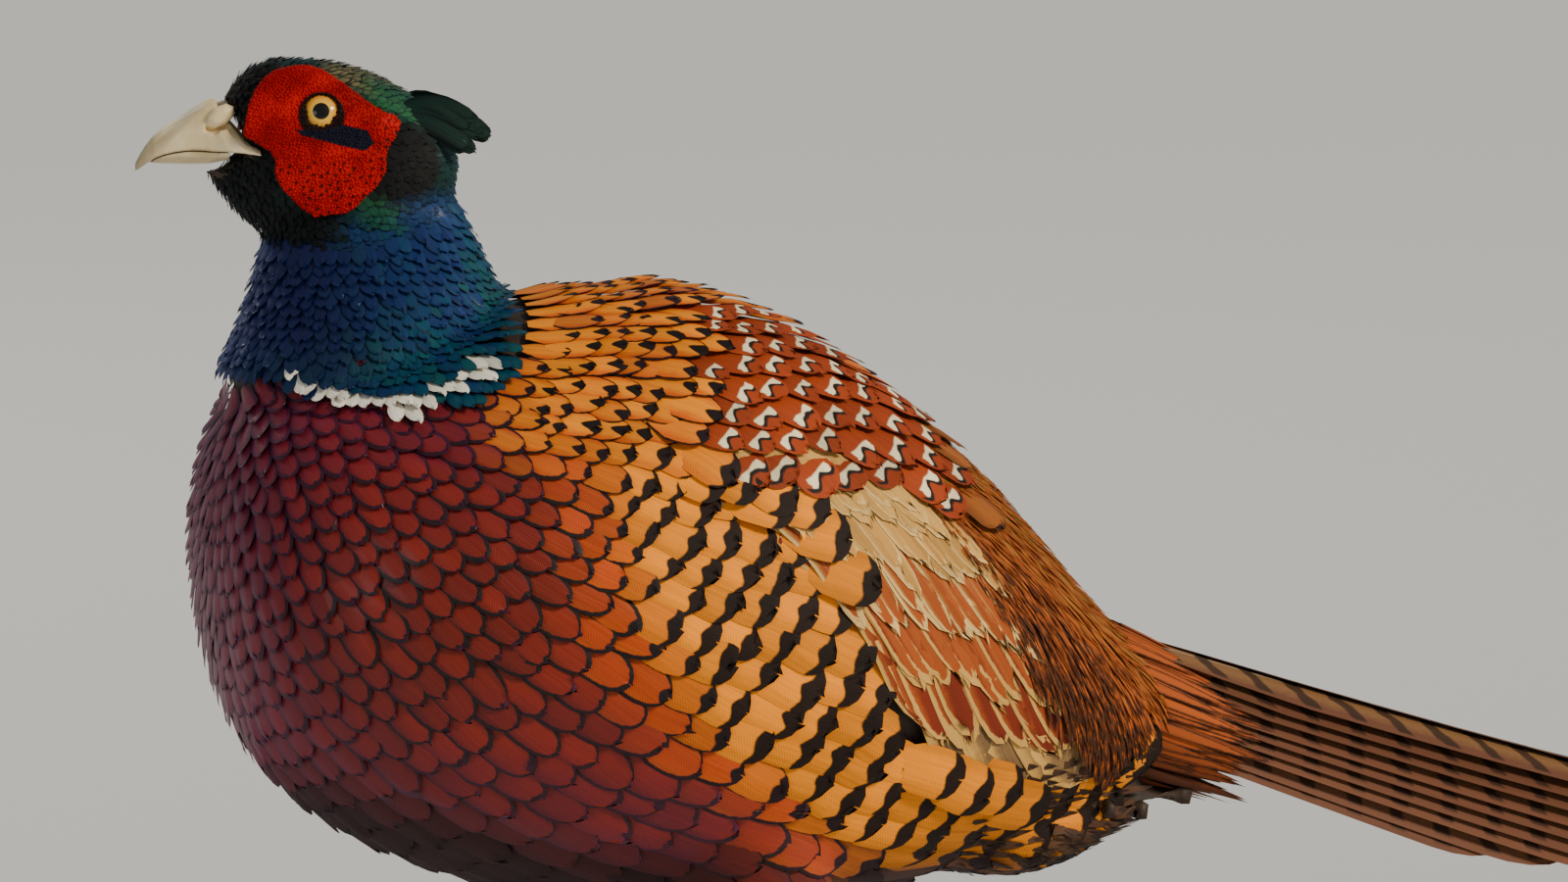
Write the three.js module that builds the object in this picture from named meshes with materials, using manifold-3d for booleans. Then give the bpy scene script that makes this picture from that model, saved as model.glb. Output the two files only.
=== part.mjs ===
// A cock pheasant at life size, standing on the floor with its plumage fluffed and its neck drawn in.
// Millimetres, +Z up. The bird faces -X and its right side is +Y. Heights are above the floor.
import * as THREE from "three";
import { mergeVertices } from "three/addons/utils/BufferGeometryUtils.js";
import Module from "manifold-3d";

const wasm = await Module();
wasm.setup();

// Driving dimensions
const GAP = 0.3; // left between pieces that touch
const FINEST = 0.05; // edges under this are merged away after a cut
const VANE_THICK = 0.7; // a feather's web with its shaft
const FINE_VANE_THICK = 0.6; // a tail feather's web

// Body sections from the breast to the tail root: heights of back and belly, and half the width.
const TORSO = [
  { x: -142.5, top: 158, bottom: 158, half: 0 },
  { x: -141, top: 180, bottom: 137, half: 22 },
  { x: -137, top: 196, bottom: 117, half: 38 },
  { x: -129, top: 208, bottom: 99, half: 51 },
  { x: -115, top: 217, bottom: 84, half: 62 },
  { x: -94, top: 224.5, bottom: 70.5, half: 71 },
  { x: -66, top: 229, bottom: 60, half: 77.5 },
  { x: -30, top: 231, bottom: 51.5, half: 81 },
  { x: 4, top: 227, bottom: 48, half: 80 },
  { x: 34, top: 214, bottom: 49, half: 75 },
  { x: 62, top: 194, bottom: 54, half: 66 },
  { x: 88, top: 170, bottom: 62, half: 54 },
  { x: 108, top: 147, bottom: 69, half: 43 },
  { x: 126, top: 127, bottom: 77, half: 32 },
  { x: 140, top: 115, bottom: 84, half: 22 },
  { x: 146, top: 100, bottom: 100, half: 0 },
];
const TORSO_RINGS = 22;
const TORSO_SIDES = 24;

// The neck is a stack of level ellipses that turn with the head.
const NECK = [
  { z: 176, front: -121, back: -66, half: 28 },
  { z: 198, front: -137.5, back: -51, half: 40.5 },
  { z: 209, front: -136.5, back: -49, half: 39 },
  { z: 221, front: -133, back: -52, half: 34 },
  { z: 235, front: -128, back: -58, half: 26.5 },
  { z: 248, front: -125, back: -64, half: 19 },
  { z: 261, front: -119, back: -70, half: 13 },
  { z: 274, front: -112, back: -78, half: 9 },
];
const NECK_RINGS = 8;
const NECK_SIDES = 18;
const NECK_AXIS_X = -98; // the upright line that head and neck turn about
const HEAD_TURN = 12; // degrees towards the bird's right
const HEAD_SET = { back: 2.3, down: 1.5 }; // how far the head then sits back and down on the neck

// Head sections, with a counted forwards from the neck's axis.
const HEAD = [
  { a: 48, top: 267, bottom: 267, half: 0 },
  { a: 46.3, top: 272, bottom: 263.5, half: 4.2 },
  { a: 43, top: 286.5, bottom: 259.5, half: 6 },
  { a: 40, top: 290.3, bottom: 255.5, half: 7.4 },
  { a: 35.5, top: 296, bottom: 250.5, half: 12.3 },
  { a: 28, top: 299.6, bottom: 246.5, half: 15.4 },
  { a: 16, top: 299.6, bottom: 244.5, half: 18 },
  { a: 3, top: 297.5, bottom: 245, half: 19.6 },
  { a: -9, top: 292.5, bottom: 247, half: 19.6 },
  { a: -19, top: 285, bottom: 251, half: 17 },
  { a: -26, top: 276, bottom: 257, half: 11 },
  { a: -29, top: 267, bottom: 267, half: 0 },
];
const HEAD_RINGS = 13;
const HEAD_SIDES = 16;

const UPPER_BILL = [
  { a: 29.5, top: 273.4, bottom: 271.2, half: 15.9 },
  { a: 36, top: 278, bottom: 272, half: 13.2 },
  { a: 42, top: 286.6, bottom: 272.3, half: 9.7 },
  { a: 46.5, top: 284.6, bottom: 272.6, half: 7.6 },
  { a: 51, top: 282, bottom: 272.3, half: 6.2 },
  { a: 55, top: 279.6, bottom: 271.5, half: 5 },
  { a: 59, top: 276.3, bottom: 270, half: 3.8 },
  { a: 62.3, top: 272, bottom: 267.6, half: 2.2 },
  { a: 64.3, top: 268.2, bottom: 266.1, half: 0.9 },
];
const LOWER_BILL = [
  { a: 38, top: 272.5, bottom: 269.2, half: 12.3 },
  { a: 43, top: 273, bottom: 268, half: 9 },
  { a: 47, top: 273, bottom: 267.8, half: 7.1 },
  { a: 52, top: 273, bottom: 267.9, half: 5.5 },
  { a: 57, top: 272, bottom: 268.1, half: 3.9 },
  { a: 60.8, top: 270.6, bottom: 268.4, half: 2.1 },
];
const NOSTRIL_FLAP = { a: 40.6, y: 6.4, z: 281.8, long: 4.9, deep: 3, out: 2.4, rise: 34 };

const EYE = { a: 12.2, y: 12.3, z: 282.4, radius: 7.2 };
const LID = { out: 5.4, ring: 5.6, tube: 1, rise: 14, ahead: 6 }; // its axis leans up and ahead, in degrees
const WATTLE_SWELL = 1.8; // how far the red skin stands out of the face
// The red skin's outline, as [a, z], from the gape round over the brow and down the cheek.
const WATTLE_OUTLINE = [
  [34.3, 276.7],
  [32.3, 286.6],
  [27.5, 293.6],
  [19.6, 296.2],
  [11, 294.4],
  [-2.6, 284.6],
  [-9.6, 280.8],
  [-5.2, 272.6],
  [-4.3, 265.4],
  [6.8, 254.1],
  [14.5, 253.8],
  [24.9, 264],
  [26, 271.9],
];

const EAR_TUFT = { a: -13, y: 10.5, z: 282.5, length: 27, spread: 4.8, locks: 4 };

// Folded wing. Places on the body's side are [x, degrees down from the back's ridge].
const WING_CORE = { front: -42, back: 70, upper: 22, lower: 78, lift: 2.4 };
// Each tier's first and last feather, with its shingle: how fast a web rises from its lower edge.
const WING_TIERS = [
  { name: "primaries", count: 3, lift: [1, 0.8], half: 9.5, along: 3, shingle: 0.08,
    root: [[24, 67], [48, 57]], tip: [[68, 121], [107, 124]], bow: 5 },
  { name: "secondaries", count: 5, lift: [1.3, 4.8], half: 9, along: 3, shingle: 0.13,
    root: [[4, 72], [46, 44]], tip: [[49, 110], [104, 108]], bow: 9 },
  { name: "greater coverts", count: 4, lift: [1.2, 7.4], half: 11, along: 2, shingle: 0.1,
    root: [[-14, 66], [34, 38]], tip: [[26, 82], [83, 70]], bow: 4 },
  { name: "lesser coverts", count: 4, lift: [0.8, 9], half: 11, along: 2, shingle: 0.08,
    root: [[-30, 58], [24, 34]], tip: [[5, 66], [61, 54]], bow: 2 },
  { name: "scapulars", count: 4, lift: [0.8, 10.4], half: 12, along: 2, shingle: 0.09,
    root: [[-34, 40], [26, 27]], tip: [[-4, 56], [60, 39]], bow: 0 },
];

// Rump plumes lie back from the ridge and hang down at the sides, in front of the tail's root. Each tier
// gives x and degrees for the plumes at the ridge and at the side.
const RUMP_CORE = { front: 72, back: 128, reach: 38, lift: 1.8 };
const RUMP_TIERS = [
  { count: 5, root: [[90, 0], [86, 30]], tip: [[130, 0], [119, 74]], lift: [0.6, 4.4], half: 9.5, along: 3 },
  { count: 6, root: [[104, 6], [97, 43]], tip: [[133, 8], [126, 100]], lift: [0.9, 1.4], half: 9.4, along: 2 },
];
const RUMP_SHINGLE = 0.08;

// Tail feathers in pairs, the middle pair first and longest.
const TAIL_LENGTHS = [455, 388, 318, 254, 202, 160, 126];
const TAIL = {
  root: [126, 125.4], // x and height of the ridge
  slope: [17.4, 7.2], // degrees down at the root and at the tip
  half: 13.5,
  start: 9, // distance along the ridge at which the feathers come out of the body
  firstOffset: 6.2, // from the middle line to a middle feather's shaft
  firstTilt: 14,
  tiltStep: 5.6,
  outStep: 2.6,
  downStep: 2.2,
  fanStep: 0.7, // degrees by which each pair leaves the one above it
};
// The bundle of quills at the tail's root, by the distance along the ridge and the heights over it.
const TAIL_CORE = [
  { s: 9, above: 3, below: 36, half: 18 },
  { s: 26, above: 3, below: 33, half: 17 },
  { s: 42, above: 1, below: 29, half: 14 },
  { s: 58, above: -3, below: 21, half: 8 },
];

const VENT = [
  { x: 70, top: 74, bottom: 60, half: 26 },
  { x: 92, top: 80, bottom: 55, half: 31 },
  { x: 114, top: 82, bottom: 60, half: 27 },
  { x: 134, top: 84, bottom: 70, half: 19 },
  { x: 150, top: 83, bottom: 77, half: 10 },
];
const VENT_VANES = { count: 4, half: 9, length: 52, spread: 40 };

// Legs
const LEG_Y = 34;
const THIGH = [
  { x: 4, z: 84, half: 27, deep: 27 },
  { x: 7, z: 64, half: 25, deep: 26 },
  { x: 12, z: 50, half: 17, deep: 19 },
  { x: 14, z: 42, half: 9, deep: 10 },
  { x: 14, z: 38, half: 5.5, deep: 6 },
];
const SHANK = [
  { x: 16.5, z: 46, half: 4.6, deep: 5.6 },
  { x: 11.5, z: 36, half: 3.6, deep: 4.6 },
  { x: 4, z: 22, half: 3.5, deep: 4.4 },
  { x: -3, z: 10, half: 4.4, deep: 5.4 },
  { x: -4.5, z: 6, half: 4, deep: 4.6 },
];
const ANKLE = { x: -5, z: 6.6, radius: 6.4 };
// Toes by the way they point (degrees from straight ahead, outwards), length, and height of the root.
const TOES = [
  { name: "inner", turn: -34, length: 31, wide: 3, root: 5.4 },
  { name: "middle", turn: 2, length: 43, wide: 3.4, root: 5.8 },
  { name: "outer", turn: 36, length: 35, wide: 3, root: 5.4 },
  { name: "hind", turn: 168, length: 15, wide: 2.4, root: 7 },
];
const CLAW = { length: 10, thick: 1.75, curl: 32 };
const SPUR = { x: 10.4, z: 24, y: 26.5, length: 13, thick: 2.6 };

const COLOURS = {
  head: 0x1c2a26, bill: 0xd9c79a, eye: 0xe2a02c, wattle: 0xb3150c, tuft: 0x0f3a33, neck: 0x173a5c,
  body: 0x8a4a26, wing: 0xc79a5c, rump: 0xa5642c, tail: 0x6a5040, vent: 0x3c2518, thigh: 0x4a3020,
  leg: 0x8b8072, claw: 0x3a332c,
};
const deg = THREE.MathUtils.degToRad;
const mix = THREE.MathUtils.lerp;

// A row of sections read at t from 0 to 1, on a smooth curve through every value.
function readSections(rows, t) {
  const at = THREE.MathUtils.clamp(t, 0, 1) * (rows.length - 1);
  const i = Math.min(Math.floor(at), rows.length - 2);
  const f = at - i;
  const out = {};
  for (const key of Object.keys(rows[0])) {
    const [before, from, to, after] = [-1, 0, 1, 2].map(
      (k) => rows[THREE.MathUtils.clamp(i + k, 0, rows.length - 1)][key],
    );
    const slopeIn = (to - before) / 2;
    const slopeOut = (after - from) / 2;
    const bend = 2 * (from - to) + slopeIn + slopeOut;
    const lean = 3 * (to - from) - 2 * slopeIn - slopeOut;
    out[key] = ((bend * f + lean) * f + slopeIn) * f + from;
  }
  return out;
}

// A closed mesh through rings of points. A ring of one point is a pole; other end rings get a flat cap.
// From ring point backFrom on, quads split the other way, so that both faces of a thin vane match.
function loft(rings, backFrom = Infinity) {
  const points = [];
  const starts = rings.map((ring) => {
    const start = points.length;
    points.push(...ring);
    return start;
  });
  const sides = Math.max(...rings.map((ring) => ring.length));
  const faces = [];
  for (let i = 0; i + 1 < rings.length; i++) {
    for (let j = 0; j < sides; j++) {
      const next = (j + 1) % sides;
      const [a, b] = [j, next].map((k) => starts[i] + (rings[i].length > 1 ? k : 0));
      const [d, c] = [j, next].map((k) => starts[i + 1] + (rings[i + 1].length > 1 ? k : 0));
      if (j >= backFrom) faces.push([a, b, d], [b, c, d]);
      else faces.push([a, b, c], [a, c, d]);
    }
  }
  for (const [ring, start, turn] of [[rings[0], starts[0], 1], [rings.at(-1), starts.at(-1), -1]]) {
    for (let j = 1; j + 1 < ring.length; j++) {
      faces.push(turn > 0 ? [start, start + j + 1, start + j] : [start, start + j, start + j + 1]);
    }
  }
  const geometry = new THREE.BufferGeometry().setFromPoints(points);
  geometry.setIndex(faces.filter(([a, b, c]) => a !== b && b !== c && c !== a).flat());
  return geometry;
}

// The solid of a closed geometry, turned face out.
function solid(geometry) {
  const bare = geometry.clone();
  bare.deleteAttribute("normal");
  bare.deleteAttribute("uv");
  const merged = mergeVertices(bare, 1e-4);
  const index = [];
  for (let i = 0; i < merged.index.count; i += 3) {
    const [a, b, c] = [0, 1, 2].map((k) => merged.index.array[i + k]);
    if (a !== b && b !== c && c !== a) index.push(a, b, c);
  }
  const build = (triVerts) =>
    new wasm.Manifold(
      new wasm.Mesh({ numProp: 3, vertProperties: merged.attributes.position.array, triVerts }),
    );
  const made = build(new Uint32Array(index));
  return made.volume() > 0 ? made : build(new Uint32Array(index).reverse());
}

const join = (solids) => solids.reduce((all, next) => all.add(next));

// The largest closed piece of a solid, which drops loose scraps and fills sealed hollows.
function largest(made) {
  const parts = made.simplify(FINEST).decompose().sort((p, q) => q.volume() - p.volume());
  return parts[0];
}

function geometryOf(made) {
  const { vertProperties, triVerts } = made.getMesh();
  const geometry = new THREE.BufferGeometry();
  geometry.setAttribute("position", new THREE.BufferAttribute(vertProperties, 3));
  geometry.setIndex(new THREE.BufferAttribute(triVerts, 1));
  geometry.computeVertexNormals();
  return geometry;
}

const bird = new THREE.Group();

function place(name, made, colour, roughness = 0.7) {
  const material = new THREE.MeshStandardMaterial({ color: colour, roughness, metalness: 0 });
  const mesh = new THREE.Mesh(geometryOf(largest(made)), material);
  mesh.name = name;
  bird.add(mesh);
}

const mirrored = (made) => made.mirror([0, 1, 0]);
const SIDES = [
  { side: "left", flip: (made) => made },
  { side: "right", flip: mirrored },
];

// Body surface: a point at t along the sections and an angle down from the ridge (left side positive),
// lifted off the surface along its normal.
function sectionPoint(section, x, angle) {
  const middle = (section.top + section.bottom) / 2;
  const tall = (section.top - section.bottom) / 2;
  return new THREE.Vector3(x, -section.half * Math.sin(angle), middle + tall * Math.cos(angle));
}

function surfacePoint(pointAt, t, angle, lift) {
  const step = 1e-3;
  const here = pointAt(t, angle);
  if (!lift) return here;
  const inner = THREE.MathUtils.clamp(t, step * 2, 1 - step * 2);
  const along = pointAt(inner + step, angle).sub(pointAt(inner - step, angle));
  const round = pointAt(inner, angle + step).sub(pointAt(inner, angle - step));
  const normal = along.cross(round).normalize();
  return here.addScaledVector(normal, lift);
}

const torsoAt = (t, angle) => {
  const section = readSections(TORSO, t);
  return sectionPoint(section, section.x, angle);
};
const torsoSurface = (t, angle, lift = 0) => surfacePoint(torsoAt, t, angle, -lift * 1);

// The t at which the body's sections reach x.
function torsoT(x) {
  let [low, high] = [0, 1];
  for (let i = 0; i < 24; i++) {
    const middle = (low + high) / 2;
    if (readSections(TORSO, middle).x < x) low = middle;
    else high = middle;
  }
  return (low + high) / 2;
}

function ringsOf(surface, count, sides, lift) {
  return Array.from({ length: count + 1 }, (_, i) => {
    const t = i / count;
    if (i === 0 || i === count) {
      const pole = surface(t, 0, 0);
      const outwards = i === 0 ? surface(0, 0, 0).sub(surface(0.5, 0, 0)) : pole.clone().sub(surface(0.5, 0, 0));
      outwards.y = outwards.z = 0;
      return [pole.addScaledVector(outwards.normalize(), lift)];
    }
    return Array.from({ length: sides }, (_, j) => surface(t, (j / sides) * 2 * Math.PI, lift));
  });
}

const torso = (lift) => solid(loft(ringsOf(torsoSurface, TORSO_RINGS, TORSO_SIDES, lift)));

// Head and neck are built facing straight ahead and turned about the neck's axis.
const headAt = (t, angle) => {
  const section = readSections(HEAD, t);
  return sectionPoint(section, NECK_AXIS_X - section.a, angle);
};
const headSurface = (t, angle, lift = 0) => surfacePoint(headAt, t, angle, -lift * 1);
const straightHead = (lift) => solid(loft(ringsOf(headSurface, HEAD_RINGS, HEAD_SIDES, lift)));
const headPlace = (a, y, z) => new THREE.Vector3(NECK_AXIS_X - a, y, z);

function turned(made) {
  return made.translate([-NECK_AXIS_X, 0, 0]).rotate([0, 0, -HEAD_TURN])
    .translate([NECK_AXIS_X + HEAD_SET.back, 0, -HEAD_SET.down]);
}

function ball(radius, centre, wide = 12, tall = 9) {
  return solid(new THREE.SphereGeometry(radius, wide, tall)).rotate([90, 0, 0]).translate(centre.toArray());
}

function neckLoft(grow) {
  const rings = Array.from({ length: NECK_RINGS + 1 }, (_, i) => {
    const s = i / NECK_RINGS;
    const level = readSections(NECK, s);
    const turn = deg(-HEAD_TURN) * THREE.MathUtils.smoothstep(s, 0.15, 0.8);
    const middle = (level.front + level.back) / 2;
    const deep = (level.back - level.front) / 2 + grow;
    return Array.from({ length: NECK_SIDES }, (_, j) => {
      const angle = (j / NECK_SIDES) * 2 * Math.PI;
      const point = new THREE.Vector3(
        middle - NECK_AXIS_X + deep * Math.cos(angle), (level.half + grow) * Math.sin(angle), level.z);
      return point.applyAxisAngle(new THREE.Vector3(0, 0, 1), turn).add(new THREE.Vector3(NECK_AXIS_X, 0, 0));
    });
  });
  return solid(loft(rings));
}

// A half of the bill: round above and nearly flat below, or the other way up.
function billHalf(rows, roundSide, grow = 0) {
  const count = Math.round((rows.length - 1) * 1.5);
  const rings = Array.from({ length: count + 1 }, (_, i) => {
    const row = readSections(rows, i / count);
    const flat = roundSide > 0 ? row.bottom : row.top;
    const tall = row.top - row.bottom;
    return Array.from({ length: 12 }, (_, j) => {
      const angle = (j / 12) * 2 * Math.PI;
      const up = Math.cos(angle);
      const z = flat + roundSide * (up > 0 ? tall * up ** 0.9 + grow : 0.06 * tall * up - grow);
      return headPlace(row.a, (row.half + grow) * Math.sin(angle), z);
    });
  });
  return solid(loft(rings));
}

function nostrilFlap(side, grow = 0, drop = 0) {
  const { a, y, z, long, deep, out, rise } = NOSTRIL_FLAP;
  return solid(new THREE.SphereGeometry(1, 8, 6))
    .scale([long + grow, out + grow, deep + grow])
    .rotate([0, -rise, 0])
    .translate([NECK_AXIS_X - a, side * y, z - drop]);
}

// Each flap lies over its nostril, a slot under and in front of it.
function upperBill() {
  const { long, out } = NOSTRIL_FLAP;
  return [-1, 1].reduce(
    (made, side) => made.subtract(nostrilFlap(side, 0.5, 1.3).translate([0, side * out * 0.4, 0])).add(nostrilFlap(side)),
    billHalf(UPPER_BILL, 1),
  );
}

function lowerBill() {
  return billHalf(LOWER_BILL, -1)
    .subtract(billHalf(UPPER_BILL, 1))
    .subtract(billHalf(UPPER_BILL, 1).translate([0, 0, -GAP]));
}

// The room that the whole bill takes up in the head.
const billRoom = () =>
  join([billHalf(UPPER_BILL, 1, GAP), billHalf(LOWER_BILL, -1, GAP), nostrilFlap(-1, GAP), nostrilFlap(1, GAP)]);

function head() {
  const { a, y, z, radius } = EYE;
  const sockets = [-y, y].map((side) => ball(radius + GAP, headPlace(a, side, z)));
  return sockets.reduce((made, socket) => made.subtract(socket), straightHead(0)).subtract(billRoom());
}

function wattle() {
  const outline = new THREE.SplineCurve([...WATTLE_OUTLINE, WATTLE_OUTLINE[0]].map(
    ([a, z]) => new THREE.Vector2(NECK_AXIS_X - a, z)));
  const shape = new THREE.Shape(outline.getPoints(30).slice(0, -1));
  const prism = solid(new THREE.ExtrudeGeometry(shape, { depth: 30, bevelEnabled: false }));
  const { a, y, z, radius } = EYE;
  const lid = solid(new THREE.TorusGeometry(LID.ring, LID.tube, 5, 14))
    .translate([0, 0, LID.out])
    .rotate([90 - LID.rise, 0, -LID.ahead])
    .translate([NECK_AXIS_X - a, -y, z]);
  return prism.rotate([90, 0, 0])
    .intersect(straightHead(WATTLE_SWELL))
    .add(lid)
    .subtract(straightHead(GAP))
    .subtract(billRoom())
    .subtract(ball(radius + GAP, headPlace(a, -y, z)));
}

// A feather: a thin closed web along a path, widest near its middle and rounded at the tip.
// path(t) gives the shaft's point, the way across the web and the way out of it.
function vane(path, { half, along, thick = VANE_THICK, inner = half, sag = 0, shape = leafShape }) {
  const rings = Array.from({ length: along + 1 }, (_, i) => {
    const t = i / along;
    const { point, across, out } = path(t);
    const width = shape(t);
    const deep = (thick / 2) * (t === 1 ? 0.5 : 1);
    const spots = [-inner * width, 0, half * width];
    const face = (up) =>
      spots.map((s) =>
        point.clone().addScaledVector(across, s)
          .addScaledVector(out, up * deep - sag * s * s + (s === 0 ? up * thick * 0.25 : 0)));
    return [...face(1), ...face(-1).reverse()];
  });
  return solid(loft(rings, 3));
}

// Widths along a feather, as shares of its half width.
const leafShape = (t) => Math.min(0.55 + 1.6 * t, 1) * Math.sqrt(Math.max(1 - t ** 5, 0.02));
const bladeShape = (t) => Math.min(0.5 + 6 * t, 1) * Math.max((1 - t) ** 0.42, 0.06);

// A path over the body from root to tip, each [x, degrees], bowed by so many degrees, rising from one
// lift to another and rolled so that its upper edge stands out by the shingle.
function bodyPath(root, tip, bow, lifts, roll) {
  const spot = (t) => [mix(root[0], tip[0], t), mix(root[1], tip[1], t) - bow * Math.sin(Math.PI * t)];
  const onBody = (t, lift) => {
    const [x, angle] = spot(t);
    return torsoSurface(torsoT(x), deg(angle), lift);
  };
  return (t) => {
    const lift = mix(lifts[0], lifts[1], t);
    const point = onBody(t, lift);
    const out = onBody(t, lift + 1).sub(point).normalize();
    const ahead = onBody(t + 0.02, lift).sub(onBody(t - 0.02, lift)).normalize();
    const across = new THREE.Vector3().crossVectors(ahead, out).normalize();
    return { point, across: across.addScaledVector(out, roll).normalize(), out };
  };
}

const BODY_SAG = 1 / 150; // how a web bends round the body: one over twice its radius

// A slab that lies on the body between two x and two angles, thinning to its edges.
function bodyPatch({ front, back, upper, lower, lift }, rows = 7, columns = 6) {
  const rings = Array.from({ length: rows + 1 }, (_, i) => {
    const t = torsoT(mix(front, back, i / rows));
    const end = Math.sin((Math.PI * (i + 0.35)) / (rows + 0.7)) ** 0.5;
    const face = (height) =>
      Array.from({ length: columns + 1 }, (_, j) => {
        const edge = Math.sin((Math.PI * (j + 0.35)) / (columns + 0.7)) ** 0.5;
        return torsoSurface(t, deg(mix(upper, lower, j / columns)), height > 0 ? height * edge * end : height);
      });
    return [...face(lift), ...face(-2).reverse()];
  });
  return solid(loft(rings, columns + 1));
}

function wing() {
  const vanes = [bodyPatch(WING_CORE)];
  for (const tier of WING_TIERS) {
    for (let i = 0; i < tier.count; i++) {
      const f = i / (tier.count - 1);
      const [root, tip] = [tier.root, tier.tip].map(([from, to]) => [mix(from[0], to[0], f), mix(from[1], to[1], f)]);
      const path = bodyPath(root, tip, tier.bow, tier.lift, tier.shingle);
      vanes.push(vane(path, { half: tier.half, along: tier.along, sag: BODY_SAG }));
    }
  }
  return join(vanes).subtract(torso(GAP));
}

function rump() {
  const { front, back, reach, lift } = RUMP_CORE;
  const plumes = [bodyPatch({ front, back, upper: -reach, lower: reach, lift }, 5, 8)];
  for (const tier of RUMP_TIERS) {
    for (let i = 0; i < tier.count; i++) {
      const f = (2 * i) / (tier.count - 1) - 1;
      const [side, away] = [Math.sign(f), Math.abs(f)];
      const [root, tip] = [tier.root, tier.tip].map(([ridge, flank]) => [
        mix(ridge[0], flank[0], away), mix(ridge[1], flank[1], away) * side]);
      const path = bodyPath(root, tip, 0, tier.lift, RUMP_SHINGLE * side);
      plumes.push(vane(path, { half: tier.half, along: tier.along, sag: BODY_SAG * 1.6 }));
    }
  }
  return join(plumes).subtract(torso(GAP));
}

// The tail's ridge: a point at a distance along it, and the slope there.
function ridge(distance, total) {
  const steps = 24;
  let [x, z] = TAIL.root;
  for (let i = 0; i < steps; i++) {
    const slope = deg(mix(TAIL.slope[0], TAIL.slope[1], THREE.MathUtils.smoothstep((distance * (i + 0.5)) / steps / total, 0.1, 1)));
    x += (distance / steps) * Math.cos(slope);
    z -= (distance / steps) * Math.sin(slope);
  }
  return { x, z, slope: deg(mix(TAIL.slope[0], TAIL.slope[1], THREE.MathUtils.smoothstep(distance / total, 0.1, 1))) };
}

function tail() {
  const feathers = [];
  let [y, drop, tilt] = [TAIL.firstOffset, 0, TAIL.firstTilt];
  TAIL_LENGTHS.forEach((length, pair) => {
    const [offset, fall, lean] = [y, drop, deg(tilt)];
    const fan = deg(TAIL.fanStep * pair);
    const path = (t) => {
      const distance = mix(TAIL.start, length, t);
      const { x, z, slope } = ridge(distance, TAIL_LENGTHS[0]);
      const narrowing = 1 - 0.35 * t * (length / TAIL_LENGTHS[0]);
      const out = new THREE.Vector3(Math.sin(slope) * Math.cos(lean), -Math.sin(lean), Math.cos(slope) * Math.cos(lean));
      const across = new THREE.Vector3(-Math.sin(slope) * Math.sin(lean), -Math.cos(lean), -Math.cos(slope) * Math.sin(lean));
      const point = new THREE.Vector3(x, -(offset * narrowing + distance * Math.sin(fan) * 0.25), z - fall - distance * Math.sin(fan));
      return { point, across, out };
    };
    const half = TAIL.half * (1 - 0.035 * pair);
    feathers.push(vane(path, {
      half, inner: (offset * (pair ? 0.62 : 1.06)) / Math.cos(lean), thick: FINE_VANE_THICK,
      along: pair < 3 ? 6 : 3, shape: bladeShape,
    }));
    y += TAIL.outStep * Math.cos(lean) - TAIL.downStep * Math.sin(lean);
    drop += TAIL.outStep * Math.sin(lean) + TAIL.downStep * Math.cos(lean);
    tilt += TAIL.tiltStep;
  });
  const quills = TAIL_CORE.map(({ s, above, below, half }) => {
    const { x, z } = ridge(s, TAIL_LENGTHS[0]);
    return { x, top: z + above, bottom: z - below, half };
  });
  const core = solid(loft(crossSections(quills, 5, 14)));
  return join([core, ...feathers, ...feathers.map(mirrored)]).subtract(torso(GAP));
}

// Rings of upright ellipses along x.
function crossSections(rows, count, sides) {
  return Array.from({ length: count + 1 }, (_, i) => {
    const section = readSections(rows, i / count);
    return Array.from({ length: sides }, (_, j) => sectionPoint(section, section.x, (j / sides) * 2 * Math.PI));
  });
}

function vent() {
  const pieces = [solid(loft(crossSections(VENT, 6, 12)))];
  const { count, half, length, spread } = VENT_VANES;
  for (let i = 0; i < count; i++) {
    const f = (2 * i) / (count - 1) - 1;
    const heading = deg(spread * f * 0.5);
    const root = new THREE.Vector3(118 - 10 * Math.abs(f), -18 * f, 70 + 4 * Math.abs(f));
    const path = (t) => ({
      point: root.clone().add(new THREE.Vector3(
        length * t * Math.cos(heading), -length * t * Math.sin(heading), 13 * t * t - 2 * t)),
      across: new THREE.Vector3(0, -1, 0.35 * f).normalize(),
      out: new THREE.Vector3(0, 0.35 * f, -1).normalize().negate(),
    });
    pieces.push(vane(path, { half, along: 2 }));
  }
  return join(pieces).subtract(torso(GAP));
}

// Rings of level ellipses down a leg.
function levelSections(rows, count, sides, grow = 0) {
  return Array.from({ length: count + 1 }, (_, i) => {
    const row = readSections(rows, i / count);
    return Array.from({ length: sides }, (_, j) => {
      const angle = (j / sides) * 2 * Math.PI;
      return new THREE.Vector3(
        row.x + (row.deep + grow) * Math.cos(angle), -LEG_Y + (row.half + grow) * Math.sin(angle), row.z);
    });
  });
}

// A toe lies along the floor with a flat sole and swells at each joint.
function toe({ turn, length, wide, root }) {
  const heading = deg(180 + turn);
  const count = 6;
  const rings = Array.from({ length: count + 1 }, (_, i) => {
    const t = i / count;
    const swell = 1 + 0.12 * Math.cos(t * 6 * Math.PI);
    const half = wide * mix(1, 0.62, t) * swell;
    const tall = mix(root, 3.1, t ** 0.7) * mix(1, swell, 0.5);
    return Array.from({ length: 6 }, (_, j) => {
      const angle = ((j + 0.5) / 6) * 2 * Math.PI;
      const side = half * Math.sin(angle);
      const height = Math.max((tall / 2) * (1 + Math.cos(angle) / Math.cos(Math.PI / 6)), 0);
      return new THREE.Vector3(
        ANKLE.x + length * t * Math.cos(heading) - side * Math.sin(heading),
        -LEG_Y + length * t * Math.sin(heading) + side * Math.cos(heading),
        height);
    });
  });
  return solid(loft(rings));
}

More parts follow.
